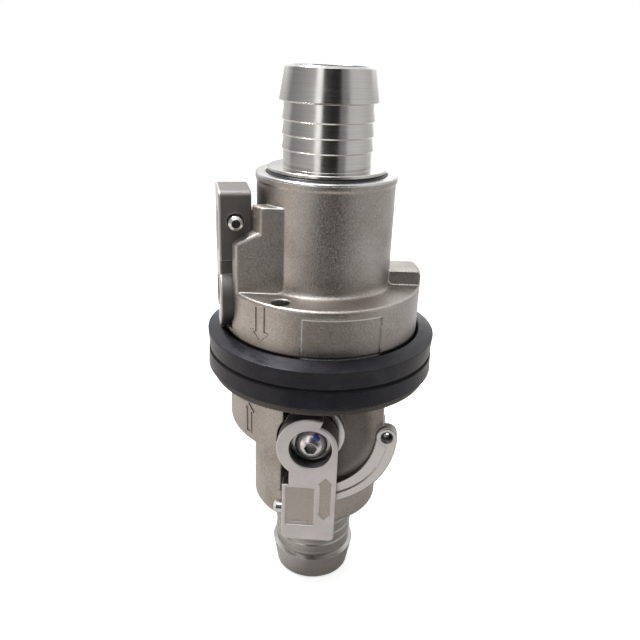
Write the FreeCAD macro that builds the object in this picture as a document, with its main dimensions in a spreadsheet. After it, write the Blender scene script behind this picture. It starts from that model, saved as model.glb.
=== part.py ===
import FreeCAD, Part
import math
import os
import re
import Sketcher

# A dry break coupling: two hose-tailed halves, each with its own ball valve and lever,
# pushed together and locked by a short bayonet twist.
# The main axis is Z, with the origin at the centre of the lower hose tail's end.
# Each half is modelled in a valve frame: origin at the ball's centre, tail down (-Z),
# lever out to the front (-Y). The lower half stands as modelled, the upper one is turned over.

# Driving sizes in millimetres and degrees: name, size, meaning
SIZES = [
    ("flow_radius", 16.0, "waterway through tails and balls"),
    ("ball_radius", 26.0, "valve ball"),
    ("ball_gap", 4.0, "between the two balls on the axis"),
    ("end_depth", 52.3, "ball centre to the body's tail end"),
    ("tail_reach", 43.7, "hose tail beyond the body's end"),
    ("parting_offset", 2.6, "bumper joint above the sealing faces"),
    ("lever_turn", 75.0, "upper lever's azimuth from the lower lever"),
    ("fit", 0.05, "fitted parts, radial"),
    ("face_gap", 0.1, "between faces that meet"),
    ("barb_radius", 20.8, "large barb"),
    ("rim_radius", 18.6, "tail's end rim"),
    ("root_radius", 18.8, "tail between barbs"),
    ("small_barb_radius", 19.4, "three small barbs"),
    ("barb_length", 13.5, "end to the large barb's edge"),
    ("barb_step", 0.6, "large barb's back slope"),
    ("small_barb_pitch", 5.9, "small barbs"),
    ("small_barb_first", 20.9, "end to the first small barb's edge"),
    ("collar_radius", 25.2, "tail's collar over the body end"),
    ("collar_width", 1.3, "tail's collar"),
    ("collar_lift", 2.2, "collar above the body's end"),
    ("thread_radius", 24.0, "tail's screwed-in part"),
    ("neck_radius", 23.2, "tail inside its O-ring"),
    ("tail_ring_section", 1.4, "tail O-ring, section radius"),
    ("ring_pocket_depth", 0.9, "body's recess for the tail O-ring"),
    ("barrel_radius", 29.9, "casting around the upper valve"),
    ("lower_barrel_radius", 30.6, "casting around the lower valve"),
    ("lip_radius", 30.4, "machined lip at the body's end"),
    ("lip_width", 2.9, "machined lip"),
    ("lip_rise", 1.3, "machined lip above the body's end"),
    ("end_round", 3.0, "lower body's end edge"),
    ("cavity_depth", 13.0, "ball centre to the cavity's shoulder"),
    ("cavity_radius", 27.0, "ball cavity"),
    ("seat_radius", 16.6, "seat rings' bore"),
    ("seat_back", 23.5, "ball centre to the back of a seat"),
    ("front_seat_radius", 23.6, "front seat's outside"),
    ("carrier_skirt", 12.0, "ball centre to the carrier's skirt"),
    ("carrier_groove", 19.0, "ball centre to the carrier's O-ring"),
    ("carrier_ring_section", 0.9, "carrier O-ring, section radius"),
    ("face_seal_radius", 21.0, "face seal, mean radius"),
    ("face_seal_width", 3.0, "face seal"),
    ("face_seal_depth", 2.4, "face seal's groove"),
    ("housing_radius", 43.9, "bayonet housing"),
    ("shoulder_height", 6.0, "ball centre to the upper shoulder, towards the tail"),
    ("shoulder_round", 1.3, "shoulder's outer edge"),
    ("shoulder_fillet", 2.4, "shoulder's inner corner"),
    ("wing_radius", 42.0, "lower body's wing and rib"),
    ("wing_drop", 8.6, "wing below the ball centre"),
    ("wing_round", 4.0, "wing's lower edge"),
    ("flange_lip_radius", 49.8, "machined flange under the lower bumper"),
    ("flange_lip_width", 2.8, "machined flange under the lower bumper"),
    ("spigot_radius", 31.5, "upper half's spigot"),
    ("socket_clearance", 0.5, "spigot in the socket"),
    ("lug_radius", 36.0, "bayonet lugs"),
    ("lug_height", 4.0, "bayonet lugs"),
    ("lug_lift", 0.6, "lugs above the spigot's face"),
    ("lug_count", 6.0, "bayonet lugs"),
    ("lug_angle", 14.0, "each bayonet lug"),
    ("lug_slot_angle", 16.0, "each entry slot"),
    ("twist_angle", 15.0, "turn from entry to locked"),
    ("socket_rim_radius", 40.8, "lower half's socket rim"),
    ("socket_rim_height", 7.0, "socket rim above the bumper joint"),
    ("skirt_clearance", 0.4, "socket rim in the upper skirt"),
    ("bumper_radius", 52.0, "rubber bumpers"),
    ("bumper_waist", 51.4, "bumpers at their joint"),
    ("upper_bumper_side", 8.5, "upper bumper's straight side"),
    ("upper_bumper_lip", 10.9, "upper bumper's inner lip"),
    ("bumper_lip_radius", 45.7, "upper bumper's inner lip"),
    ("lower_bumper_side", 9.0, "lower bumper"),
    ("lower_bumper_bevel", 1.0, "lower bumper's bottom edge"),
    ("pad_depth", 30.0, "axis to the lever pad's face"),
    ("pad_right", 31.0, "pad's free side"),
    ("pad_drop", 17.0, "pad towards the tail"),
    ("sector_face", 33.0, "axis to the stop sector's face"),
    ("sector_back", 28.0, "axis to the stop sector's back"),
    ("sector_radius", 37.5, "stop sector's outside"),
    ("sector_bore", 28.2, "stop sector's inside"),
    ("sector_step_radius", 33.4, "step in the sector's face"),
    ("sector_step", 0.4, "step in the sector's face"),
    ("sector_hole_radius", 1.5, "hole in the sector's end"),
    ("sector_sink_radius", 2.85, "countersink of that hole"),
    ("boss_radius", 14.2, "stem boss"),
    ("boss_face", 34.5, "axis to the stem boss's face"),
    ("rib_side", 12.4, "rib's face beside the lever"),
    ("rib_outer_end", 26.8, "ribs' outer step, towards the tail"),
    ("rib_step", 5.2, "rib's sloped step"),
    ("rib_inner_radius", 36.0, "rib's inner step"),
    ("rib_inner_end", 39.6, "lower rib's inner step, towards the tail"),
    ("upper_rib_inner_end", 42.3, "upper rib's inner step, towards the tail"),
    ("lower_rib_width", 9.4, "lower rib"),
    ("rib_round", 1.2, "ribs' outer edges"),
    ("upper_rib_distance", 25.2, "axis to the upper rib's slanting face"),
    ("upper_rib_slant", 12.0, "upper rib's slanting face"),
    ("hub_cut_radius", 15.3, "room around the lever's hub"),
    ("stem_radius", 7.0, "stem"),
    ("stem_collar_radius", 9.4, "stem's inner collar"),
    ("stem_collar_width", 2.0, "stem's inner collar"),
    ("ball_flat", 24.0, "axis to the ball's slotted flat"),
    ("tang_width", 7.0, "stem's tang in the ball's slot"),
    ("tang_depth", 4.0, "stem's tang in the ball's slot"),
    ("thrust_width", 1.2, "thrust washer"),
    ("packing_radius", 10.0, "stem packing"),
    ("packing_start", 29.3, "axis to the packing's floor"),
    ("packing_width", 3.0, "stem packing"),
    ("gland_width", 3.0, "gland nut"),
    ("square_start", 35.6, "axis to the stem's square"),
    ("square_width", 9.6, "stem's square"),
    ("square_end", 39.6, "axis to the stem's end"),
    ("lever_face", 46.9, "axis to the lever's face"),
    ("lever_plate", 6.5, "lever's plate"),
    ("lever_hub_back", 36.0, "axis to the lever hub's back"),
    ("lever_boss_radius", 11.8, "lever hub's back boss and free side"),
    ("lever_hub_radius", 14.7, "lever hub"),
    ("lever_hub_sweep", 185.0, "larger part of the hub"),
    ("lever_hub_start", 70.0, "where the larger part starts"),
    ("lever_neck", 9.0, "neck's left edge from the pivot"),
    ("lever_left", 11.9, "grip's left edge from the pivot"),
    ("lever_right", 11.8, "right edge from the pivot"),
    ("lever_grip_start", 18.5, "pivot to the grip"),
    ("lever_reach", 47.5, "pivot to the lever's end"),
    ("grip_back", 33.4, "axis to the grip block's back"),
    ("grip_block_start", 23.5, "pivot to the grip block"),
    ("grip_corner", 2.5, "lever's end corners"),
    ("grip_block_round", 5.0, "inner end of the grip block"),
    ("lever_edge", 0.5, "lever's front edges"),
    ("panel_depth", 0.5, "lever's sunk panel and arrow"),
    ("panel_left", 10.3, "panel's left side from the pivot"),
    ("panel_right", 2.5, "panel's right side from the pivot"),
    ("panel_start", 19.6, "pivot to the panel"),
    ("panel_end", 39.7, "pivot to the panel's far side"),
    ("arrow_middle", 7.3, "sunk arrow's middle from the pivot"),
    ("arrow_start", 14.0, "pivot to the arrow's first tip"),
    ("arrow_end", 36.1, "pivot to the arrow's second tip"),
    ("arrow_head", 3.3, "arrow's heads, length and half width"),
    ("arrow_shaft", 2.5, "arrow's shaft, half width"),
    ("screw_pocket_radius", 9.3, "recess for washer and screw"),
    ("screw_pocket_depth", 7.0, "recess for washer and screw"),
    ("washer_radius", 8.3, "lever washer"),
    ("washer_width", 1.6, "lever washer"),
    ("screw_radius", 4.0, "lever screw"),
    ("screw_head_radius", 7.0, "button head"),
    ("screw_head_height", 4.4, "button head"),
    ("screw_length", 12.0, "lever screw below its head"),
    ("hexagon_width", 5.0, "hexagon socket across flats"),
    ("hexagon_depth", 2.6, "hexagon socket"),
    ("pin_distance", 35.0, "pivot to the lock pin"),
    ("pin_radius", 3.0, "lock pin"),
    ("pin_tip_radius", 1.9, "lock pin's bevelled tip"),
    ("pin_bevel", 1.1, "lock pin's bevelled tip"),
    ("pin_stand", 4.2, "lock pin beyond the lever's edge"),
    ("pin_travel", 3.0, "lock pin"),
    ("pin_inner_end", 0.5, "pin's inner end past the pivot line"),
    ("pin_mouth_radius", 3.6, "mouth of the pin's hole"),
    ("pin_mouth_depth", 1.4, "mouth of the pin's hole"),
    ("pin_hole_end", 9.5, "pin's hole past the pivot line"),
    ("dowel_radius", 1.0, "dowel that keeps the pin"),
    ("dowel_place", 3.0, "dowel from the pivot line"),
    ("dowel_bite", 1.4, "dowel's reach into the pin"),
    ("spring_radius", 2.2, "lock spring, to the wire's centre"),
    ("spring_wire", 0.5, "lock spring's wire radius"),
    ("spring_turns", 4.0, "lock spring"),
    ("shoulder_hole_radius", 4.0, "hole in the shoulder"),
    ("shoulder_hole_depth", 16.0, "hole in the shoulder"),
    ("shoulder_hole_ring", 38.8, "axis to the shoulder hole"),
    ("shoulder_hole_azimuth", 52.4, "shoulder hole from the lever"),
    ("back_lug_width", 15.8, "lug opposite the upper lever"),
    ("back_lug_height", 6.3, "lug above the shoulder"),
    ("back_lug_azimuth", 170.0, "lug from the lever"),
    ("lug_round", 2.2, "lug's outer edge"),
    ("label_recess", 0.4, "bare panel in the housing wall"),
    ("label_angle", 45.0, "bare panel"),
    ("label_top", 2.4, "ball centre to the panel's tail side, towards the tail"),
]

doc = FreeCAD.newDocument("dry_break_coupling")
sheet = doc.addObject("Spreadsheet::Sheet", "Sizes")
for row, (alias, size, meaning) in enumerate(SIZES, start=1):
    sheet.set("A%d" % row, alias)
    sheet.set("B%d" % row, str(size))
    sheet.set("C%d" % row, meaning)
    sheet.setAlias("B%d" % row, alias)
doc.recompute()

WORD = re.compile(r"\b[a-z]\w*\b(?!\()")


def bound(text):
    """An expression on the sheet's cells, from words such as ball_radius + fit."""
    return WORD.sub(lambda found: "Sizes." + found.group(0), str(text))


def amount(text):
    """The present value of such an expression."""
    return float(sheet.evalExpression(bound(text)))


def vector(x, y, z):
    return FreeCAD.Vector(amount(x), amount(y), amount(z))


# Places worked out from the driving sizes
FACE_DEPTH = "ball_radius + ball_gap / 2"
LOWER_BALL = "tail_reach + end_depth"
SEAL_PLANE = "tail_reach + end_depth + ball_radius + ball_gap / 2"
UPPER_BALL = "tail_reach + end_depth + 2 * ball_radius + ball_gap"
THRUST_FLOOR = "ball_flat + stem_collar_width + thrust_width + 2 * face_gap"
POCKET_FLOOR = "lever_face - screw_pocket_depth"
SCREW_SEAT = POCKET_FLOOR + " + washer_width + fit"
PIN_DEPTH = "-(lever_face + grip_back) / 2"
# The slots stand every 60 degrees from the lower lever; the locked lugs stand one twist past them
LUG_AZIMUTH = "-90 - lever_turn - twist_angle"

UPRIGHT = FreeCAD.Rotation()
OUTWARD = FreeCAD.Rotation(FreeCAD.Vector(1, 0, 0), 90)
SIDEWAYS = FreeCAD.Rotation(FreeCAD.Vector(0, 1, 0), 90)
turn_axis_angle = math.radians(-90 - amount("lever_turn") / 2)
TURN_AXIS = FreeCAD.Vector(math.cos(turn_axis_angle), math.sin(turn_axis_angle), 0)
LOWER = FreeCAD.Placement(vector(0, 0, LOWER_BALL), FreeCAD.Rotation())
UPPER = FreeCAD.Placement(vector(0, 0, UPPER_BALL), FreeCAD.Rotation(TURN_AXIS, 180))

# The two halves: name and valve frame
HALVES = [("lower", LOWER), ("upper", UPPER)]

pieces = []


def keep(obj, label, frame, local=None):
    """Make an object one of the sub-parts, standing in a half's valve frame."""
    obj.Label = label
    obj.Placement = frame.multiply(local) if local else frame
    pieces.append(obj)
    return obj


def origin_plane(body, role):
    return [item for item in body.Origin.OriginFeatures if item.Role == role][0]


def outline_sketch(body, role, corners, lift="0"):
    """A closed outline of straight lines, each corner bound to the sheet."""
    sketch = body.newObject("Sketcher::SketchObject", body.Name + "_outline")
    sketch.AttachmentSupport = (origin_plane(body, role), [""])
    sketch.MapMode = "FlatFace"
    sketch.setExpression("AttachmentOffset.Base.z", bound(lift))
    points = [vector(across, along, 0) for across, along in corners]
    count = len(points)
    for index in range(count):
        sketch.addGeometry(Part.LineSegment(points[index], points[(index + 1) % count]))
    for index in range(count):
        sketch.addConstraint(Sketcher.Constraint("Coincident", index, 2, (index + 1) % count, 1))
    for index, (across, along) in enumerate(corners):
        for kind, text, value in (("DistanceX", across, points[index].x), ("DistanceY", along, points[index].y)):
            number = sketch.addConstraint(Sketcher.Constraint(kind, -1, 1, index, 1, value))
            sketch.setExpression("Constraints[%d]" % number, bound(text))
    return sketch


def turned(name, corners):
    """A body turned about Z from (radius, height) corners."""
    body = doc.addObject("PartDesign::Body", name)
    sketch = outline_sketch(body, "XZ_Plane", corners)
    turn = body.newObject("PartDesign::Revolution", name + "_turn")
    turn.Profile = sketch
    turn.ReferenceAxis = (sketch, ["V_Axis"])
    turn.Angle = 360
    body.Tip = turn
    return body


def ring(name, inner, outer, low, high):
    return turned(name, [(inner, low), (outer, low), (outer, high), (inner, high)])


def cylinder(name, radius, length, at=("0", "0", "0"), turn=UPRIGHT, sweep=None, start=None):
    """A cylinder along Z, outwards along -Y or sideways along X; sweep and start make it a sector."""
    solid = doc.addObject("Part::Cylinder", name)
    solid.setExpression("Radius", bound(radius))
    solid.setExpression("Height", bound(length))
    if sweep is not None:
        solid.setExpression("Angle", bound(sweep))
    if start is not None:
        turn = turn.multiply(FreeCAD.Rotation(FreeCAD.Vector(0, 0, 1), amount(start)))
    solid.Placement = FreeCAD.Placement(vector(*at), turn)
    for axis, text in zip("xyz", at):
        solid.setExpression("Placement.Base." + axis, bound(text))
    return solid


def box(name, low, high, turn=None):
    """A box between two corners, with an optional turn in degrees about Z."""
    solid = doc.addObject("Part::Box", name)
    for side, first, last in zip(("Length", "Width", "Height"), low, high):
        solid.setExpression(side, bound("(%s) - (%s)" % (last, first)))
    rotation = FreeCAD.Rotation(FreeCAD.Vector(0, 0, 1), amount(turn) if turn else 0)
    corner = rotation.multVec(vector(*low))
    solid.Placement = FreeCAD.Placement(corner, rotation)
    return solid


def fuse(name, shapes):
    joined = doc.addObject("Part::MultiFuse", name)
    joined.Shapes = shapes
    joined.Refine = True
    return joined


def cut(name, base, tools):
    tool = tools[0]
    if len(tools) > 1:
        tool = doc.addObject("Part::MultiFuse", name + "_tools")
        tool.Shapes = tools
    remainder = doc.addObject("Part::Cut", name)
    remainder.Base = base
    remainder.Tool = tool
    remainder.Refine = True
    return remainder


def common(name, shapes):
    shared = doc.addObject("Part::MultiCommon", name)
    shared.Shapes = shapes
    shared.Refine = True
    return shared


def rounded(name, base, radius, wanted):
    """A fillet of one radius on the edges that wanted picks."""
    doc.recompute()
    numbers = [index for index, edge in enumerate(base.Shape.Edges, start=1) if wanted(edge)]
    fillet = doc.addObject("Part::Fillet", name)
    fillet.Base = base
    fillet.Edges = [(number, amount(radius), amount(radius)) for number in numbers]
    return fillet


def is_circle(edge, radius, height):
    """Whether an edge is a circle about Z of this radius at this height."""
    curve = edge.Curve
    if not isinstance(curve, Part.Circle):
        return False
    close = abs(curve.Radius - amount(radius)) < 0.01 and abs(curve.Center.z - amount(height)) < 0.01
    return close and math.hypot(curve.Center.x, curve.Center.y) < 0.01


def hose_tail(half, frame):
    end = "-(end_depth + tail_reach)"
    corners = [("flow_radius", end), ("rim_radius - 0.8", end), ("rim_radius", end + " + 0.8")]
    corners.append(("barb_radius", end + " + barb_length"))
    corners.append(("root_radius", end + " + barb_length + barb_step"))
    for number in range(3):
        edge = end + " + small_barb_first + %d * small_barb_pitch" % number
        corners.append(("root_radius", edge + " - small_barb_pitch * 0.7"))
        corners.append(("small_barb_radius", edge))
        corners.append(("root_radius", edge + " + 0.5"))
    collar = "-(end_depth + collar_lift)"
    corners.append(("root_radius", collar + " - collar_width"))
    corners.append(("collar_radius - 0.3", collar + " - collar_width"))
    corners.append(("collar_radius", collar + " - collar_width + 0.3"))
    corners.append(("collar_radius", collar))
    corners.append(("neck_radius", collar))
    corners.append(("neck_radius", "-(end_depth - ring_pocket_depth - face_gap)"))
    corners.append(("thread_radius", "-(end_depth - ring_pocket_depth - face_gap)"))
    corners.append(("thread_radius", "-(seat_back + face_gap)"))
    corners.append(("flow_radius", "-(seat_back + face_gap)"))
    keep(turned(half + "_tail_shape", corners), half + "_hose_tail", frame)


def tail_ring(half, frame):
    torus = doc.addObject("Part::Torus", half + "_tail_ring_shape")
    torus.setExpression("Radius1", bound("neck_radius + tail_ring_section + fit"))
    torus.setExpression("Radius2", bound("tail_ring_section"))
    seat = "-(end_depth - ring_pocket_depth + tail_ring_section + fit)"
    keep(torus, half + "_tail_o_ring", frame, FreeCAD.Placement(vector(0, 0, seat), FreeCAD.Rotation()))


def barrel(half):
    """The casting around the valve: a machined lip at the upper end, a rounded lower end."""
    top = FACE_DEPTH + " - face_gap / 2"
    if half == "lower":
        end = "-end_depth"
        corners = [("0", end), ("lower_barrel_radius", end), ("lower_barrel_radius", top), ("0", top)]
        plain = turned(half + "_barrel", corners)
        return rounded(half + "_barrel_round", plain, "end_round",
                       lambda edge: is_circle(edge, "lower_barrel_radius", end))
    end = "-(end_depth + lip_rise)"
    corners = [("0", end), ("lip_radius - 0.4", end), ("lip_radius", end + " + 0.4")]
    corners += [("lip_radius", end + " + lip_width"), ("barrel_radius", end + " + lip_width + 0.6")]
    corners += [("barrel_radius", top), ("0", top)]
    return turned(half + "_barrel", corners)


def rib(half):
    """The stepped guard beside the lever."""
    start = "-shoulder_height + 3"
    inner_end = "rib_inner_end" if half == "lower" else "upper_rib_inner_end"
    outer_radius = "wing_radius" if half == "lower" else "housing_radius"
    steps = [("20", start), ("20", "-" + inner_end), ("rib_inner_radius", "-" + inner_end)]
    steps += [("rib_inner_radius", "-rib_outer_end - rib_step"), (outer_radius, "-rib_outer_end")]
    steps += [(outer_radius, start)]
    shapes = [turned(half + "_rib_steps", steps)]
    if half == "lower":
        low = ("-rib_side - lower_rib_width", "-50", "-50")
        shapes.append(box(half + "_rib_slab", low, ("-rib_side", "-15", "0")))
    else:
        low = ("-upper_rib_distance", "-50", "-50")
        shapes.append(box(half + "_rib_slab", low, ("0", "-15", "0"), "upper_rib_slant"))
        shapes.append(box(half + "_rib_side", ("-50", "-50", "-50"), ("-rib_side", "-12", "0")))
    foot, knee = -amount(inner_end), -amount("rib_outer_end + rib_step")
    outer = amount("rib_inner_radius") - amount("rib_round")

    def outer_edge(edge):
        middle = edge.CenterOfMass
        inner_corner = abs(edge.BoundBox.ZMin - knee) < 0.01 and edge.BoundBox.ZLength < 0.01
        standing = math.hypot(middle.x, middle.y) > outer and middle.z < amount(start) - 1
        return standing and not inner_corner and middle.z > foot - 1
    return rounded(half + "_rib", common(half + "_rib_blank", shapes), "rib_round", outer_edge)


def stop_sector(half):
    """The pad, its raised quarter ring, and the lug at the end of the lever's swing."""
    middle = "(sector_radius + sector_bore) / 2"
    lug_radius = "(sector_radius - sector_bore) / 2"
    thickness = "sector_face - sector_back"
    back = ("0", "-sector_back", "0")
    plate = cylinder(half + "_sector_plate", "sector_radius", thickness, back, OUTWARD, "90", "-90")
    recess = cylinder(half + "_sector_recess", "sector_bore", thickness, ("0", "-pad_depth", "0"), OUTWARD)
    step = cylinder(half + "_sector_step", "sector_step_radius", thickness,
                    ("0", "-(sector_face - sector_step)", "0"), OUTWARD)
    raised = cut(half + "_sector", plate, [recess, step])
    lug = cylinder(half + "_sector_lug", lug_radius, thickness, (middle, "-sector_back", "0"), OUTWARD)
    web = cylinder(half + "_sector_web", middle, "sector_back - 10", ("0", "-10", "0"), OUTWARD, "90", "-90")
    pad = box(half + "_pad", ("-rib_side", "-pad_depth", "-pad_drop"), ("pad_right", "-12", FACE_DEPTH + " - 5"))
    return [raised, lug, web, pad]


def lever_room(half):
    """What is cut away in front of the pad so that the lever can swing."""
    sweep = box(half + "_lever_sweep", ("-rib_side", "-60", "-60"), ("60", "-pad_depth", "lever_right + 0.6"))
    hub = cylinder(half + "_hub_room", "hub_cut_radius", "30", ("0", "-pad_depth", "0"), OUTWARD)
    return [sweep, hub]


def valve_cuts(half):
    """Bores of a casting: cavity, tail thread and O-ring, stem, packing, and the sector's hole."""
    inside = "packing_radius + fit"
    cavity = cylinder(half + "_cavity", "cavity_radius", "cavity_depth + 40", ("0", "0", "-cavity_depth"))
    outside = "-(end_depth + lip_rise + 1)"
    thread = cylinder(half + "_thread", "thread_radius + fit", "60", ("0", "0", outside))
    pocket_radius = "neck_radius + 2 * tail_ring_section + 3 * fit"
    pocket_length = "ring_pocket_depth + lip_rise + 1"
    pocket = cylinder(half + "_pocket", pocket_radius, pocket_length, ("0", "0", outside))
    thrust = cylinder(half + "_thrust_hole", inside, THRUST_FLOOR + " - 20", ("0", "-20", "0"), OUTWARD)
    stem = cylinder(half + "_stem_hole", "stem_radius + fit", "20", ("0", "-20", "0"), OUTWARD)
    packing = cylinder(half + "_packing_hole", inside, "10", ("0", "-packing_start", "0"), OUTWARD)
    middle = "(sector_radius + sector_bore) / 2"
    hole = cylinder(half + "_sector_hole", "sector_hole_radius", "30", (middle, "-10", "0"), OUTWARD)
    sink = turned(half + "_sector_sink", [("0", "0"), ("sector_sink_radius", "0"), ("0", "-sector_sink_radius")])
    sink.Placement = FreeCAD.Placement(vector(middle, "-sector_face - 0.01", 0), OUTWARD)
    return [cavity, thread, pocket, thrust, stem, packing, hole, sink]


def azimuth(text):
    """Degrees about Z of a direction given as an angle from the lever towards the rib."""
    return "-90 - (%s)" % text


def sector_copies(name, radius, length, height, sweep, first):
    """Equal sectors about Z, one for each bayonet lug."""
    count = int(amount("lug_count"))
    copies = []
    for number in range(count):
        start = "%s + %s - (%s) / 2" % (first, number * 360 / count, sweep)
        copies.append(cylinder("%s_%d" % (name, number + 1), radius, length, ("0", "0", height), UPRIGHT, sweep, start))
    return copies


def lower_body():
    half = "lower"
    top = FACE_DEPTH + " + parting_offset - face_gap / 2"
    flange_low = top + " - lower_bumper_side - face_gap - flange_lip_width"
    flange_length = "lower_bumper_side + face_gap + flange_lip_width"
    flange = cylinder("lower_flange", "housing_radius", flange_length, ("0", "0", flange_low))
    lip = cylinder("lower_flange_lip", "flange_lip_radius", "flange_lip_width", ("0", "0", flange_low))
    rim_end = FACE_DEPTH + " + parting_offset + socket_rim_height"
    rim = cylinder("lower_rim", "socket_rim_radius", "20", ("0", "0", rim_end + " - 20"))
    drum = cylinder("lower_wing_drum", "wing_radius", "wing_drop + " + FACE_DEPTH + " - 5", ("0", "0", "-wing_drop"))
    soft_drum = rounded("lower_wing_round", drum, "wing_round",
                        lambda edge: is_circle(edge, "wing_radius", "-wing_drop"))
    left = box("lower_wing_side", ("-60", "-60", "-20"), ("-rib_side", "60", "40"))
    wing = common("lower_wing", [soft_drum, left])
    mass = fuse("lower_mass", [barrel(half), flange, lip, rim, wing, rib(half)])
    core = cut("lower_core", mass, lever_room(half))
    boss = cylinder("lower_stem_boss", "boss_radius", "boss_face - 10", ("0", "-10", "0"), OUTWARD)
    casting = fuse("lower_casting", [core, boss] + stop_sector(half))
    floor = FACE_DEPTH + " - face_gap / 2"
    ledge = floor + " + 2 * face_gap + lug_lift + lug_height + face_gap"
    socket = cylinder("lower_socket", "spigot_radius + socket_clearance", "30", ("0", "0", floor))
    undercut = cylinder("lower_undercut", "lug_radius + skirt_clearance", "%s - (%s)" % (ledge, floor), ("0", "0", floor))
    slots = sector_copies("lower_slot", "lug_radius + skirt_clearance", "20", floor, "lug_slot_angle", "-90")
    keep(cut("lower_body_shape", casting, valve_cuts(half) + [socket, undercut] + slots), "lower_body", LOWER)


def upper_body():
    half = "upper"
    skirt_end = FACE_DEPTH + " - parting_offset - face_gap / 2"
    drum = cylinder("upper_drum", "housing_radius", skirt_end + " + shoulder_height", ("0", "0", "-shoulder_height"))
    drum_round = rounded("upper_drum_round", drum, "shoulder_round",
                         lambda edge: is_circle(edge, "housing_radius", "-shoulder_height"))
    main = fuse("upper_main", [barrel(half), drum_round])
    soft_main = rounded("upper_main_round", main, "shoulder_fillet",
                        lambda edge: is_circle(edge, "barrel_radius", "-shoulder_height"))
    core = cut("upper_core", fuse("upper_mass", [soft_main, rib(half)]), lever_room(half))
    boss = cylinder("upper_stem_boss", "boss_radius", "boss_face - 10", ("0", "-10", "0"), OUTWARD)
    half_lug = "back_lug_width / 2"
    lug_block = box("upper_lug_block", ("25", "-" + half_lug, "-shoulder_height - back_lug_height"),
                    ("60", half_lug, "0"), azimuth("back_lug_azimuth"))
    lug_drum = cylinder("upper_lug_drum", "housing_radius", "30", ("0", "0", "-25"))
    lug_top = "-shoulder_height - back_lug_height"
    back_lug = rounded("upper_back_lug", common("upper_back_lug_blank", [lug_block, lug_drum]), "lug_round",
                       lambda edge: is_circle(edge, "housing_radius", lug_top))
    casting = fuse("upper_casting", [core, boss, back_lug] + stop_sector(half))
    moat_floor = FACE_DEPTH + " - parting_offset - socket_rim_height - 1"
    moat_outer = cylinder("upper_moat_outer", "socket_rim_radius + skirt_clearance", "30", ("0", "0", moat_floor))
    moat_inner = cylinder("upper_moat_inner", "spigot_radius", "40", ("0", "0", moat_floor + " - 5"))
    moat = cut("upper_moat", moat_outer, [moat_inner])
    turn = azimuth("shoulder_hole_azimuth")
    angle = math.radians(amount(turn))
    hole = cylinder("upper_shoulder_hole", "shoulder_hole_radius", "shoulder_hole_depth + 1",
                    ("0", "0", "-shoulder_height - 1"))
    hole.setExpression("Placement.Base.x", bound("shoulder_hole_ring * cos(1deg * (%s))" % turn))
    hole.setExpression("Placement.Base.y", bound("shoulder_hole_ring * sin(1deg * (%s))" % turn))
    panel_outer = cylinder("upper_panel_outer", "60", "label_top + 15", ("0", "0", "-label_top"), UPRIGHT,
                           "label_angle", "180 - label_angle / 2")
    panel_inner = cylinder("upper_panel_inner", "housing_radius - label_recess", "60", ("0", "0", "-30"))
    panel = cut("upper_panel", panel_outer, [panel_inner])
    hollow = cut("upper_hollow", casting, valve_cuts(half) + [moat, hole, panel])
    spigot_end = FACE_DEPTH + " - face_gap / 2"
    spigot_length = "parting_offset + socket_rim_height + 2"
    spigot = cylinder("upper_spigot", "spigot_radius", spigot_length, ("0", "0", spigot_end + " - (%s)" % spigot_length))
    lug_low = spigot_end + " - lug_lift - lug_height"
    lugs = sector_copies("upper_lug", "lug_radius", "lug_height", lug_low, "lug_angle", LUG_AZIMUTH)
    bore = cylinder("upper_spigot_bore", "cavity_radius", "60", ("0", "0", "0"))
    nose = cut("upper_nose", fuse("upper_nose_mass", [spigot] + lugs), [bore])
    keep(fuse("upper_body_shape", [hollow, nose]), "upper_body", UPPER)


def bumpers():
    inner = "housing_radius + fit"
    top = FACE_DEPTH + " + parting_offset - face_gap / 2"
    low = top + " - lower_bumper_side"
    corners = [(inner, low), ("bumper_radius - lower_bumper_bevel", low)]
    corners += [("bumper_radius", low + " + lower_bumper_bevel"), ("bumper_waist + 0.3", top + " - 0.7")]
    corners += [("bumper_waist - 0.4", top), (inner, top)]
    keep(turned("lower_bumper_shape", corners), "lower_bumper", LOWER)
    face = FACE_DEPTH + " - parting_offset - face_gap / 2"
    edge = face + " - upper_bumper_side"
    lip = face + " - upper_bumper_lip"
    corners = [(inner, face), ("bumper_waist - 0.4", face), ("bumper_waist", face + " - 0.7")]
    corners += [("bumper_radius", edge), ("bumper_lip_radius", lip), ("bumper_lip_radius - 0.7", lip + " + 0.3")]
    corners += [(inner, lip + " + 2.6")]
    ring_shape = turned("upper_bumper_ring", corners)
    hub = cylinder("upper_bumper_notch", "hub_cut_radius", "30", ("0", "-pad_depth", "0"), OUTWARD)
    keep(cut("upper_bumper_shape", ring_shape, [hub]), "upper_bumper", UPPER)


def ball(half, frame):
    sphere = doc.addObject("Part::Sphere", half + "_sphere")
    sphere.setExpression("Radius", bound("ball_radius"))
    bore = cylinder(half + "_ball_bore", "flow_radius", "80", ("0", "0", "-40"))
    flat = box(half + "_ball_flat", ("-20", "-30", "-20"), ("20", "-ball_flat", "20"))
    width = "tang_width / 2 + fit"
    slot = box(half + "_ball_slot", ("-" + width.replace("+", "-"), "-30", "-20"), (width, "-ball_flat + tang_depth", "20"))
    keep(cut(half + "_ball_shape", sphere, [bore, flat, slot]), half + "_ball", frame)


def seats(half, frame):
    """The two seat rings, with the faces that the ball turns on."""
    for side, outer, sign in (("front", "front_seat_radius", ""), ("rear", "thread_radius - fit", "-")):
        near = sign + "(ball_radius - 12)"
        far = sign + "seat_back"
        low, high = (near, far) if side == "front" else (far, near)
        blank = ring("%s_%s_seat_blank" % (half, side), "seat_radius", outer, low, high)
        sphere = doc.addObject("Part::Sphere", "%s_%s_seat_face" % (half, side))
        sphere.setExpression("Radius", bound("ball_radius + fit"))
        name = "%s_%s_seat" % (half, side)
        keep(cut(name + "_shape", blank, [sphere]), name, frame)


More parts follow.
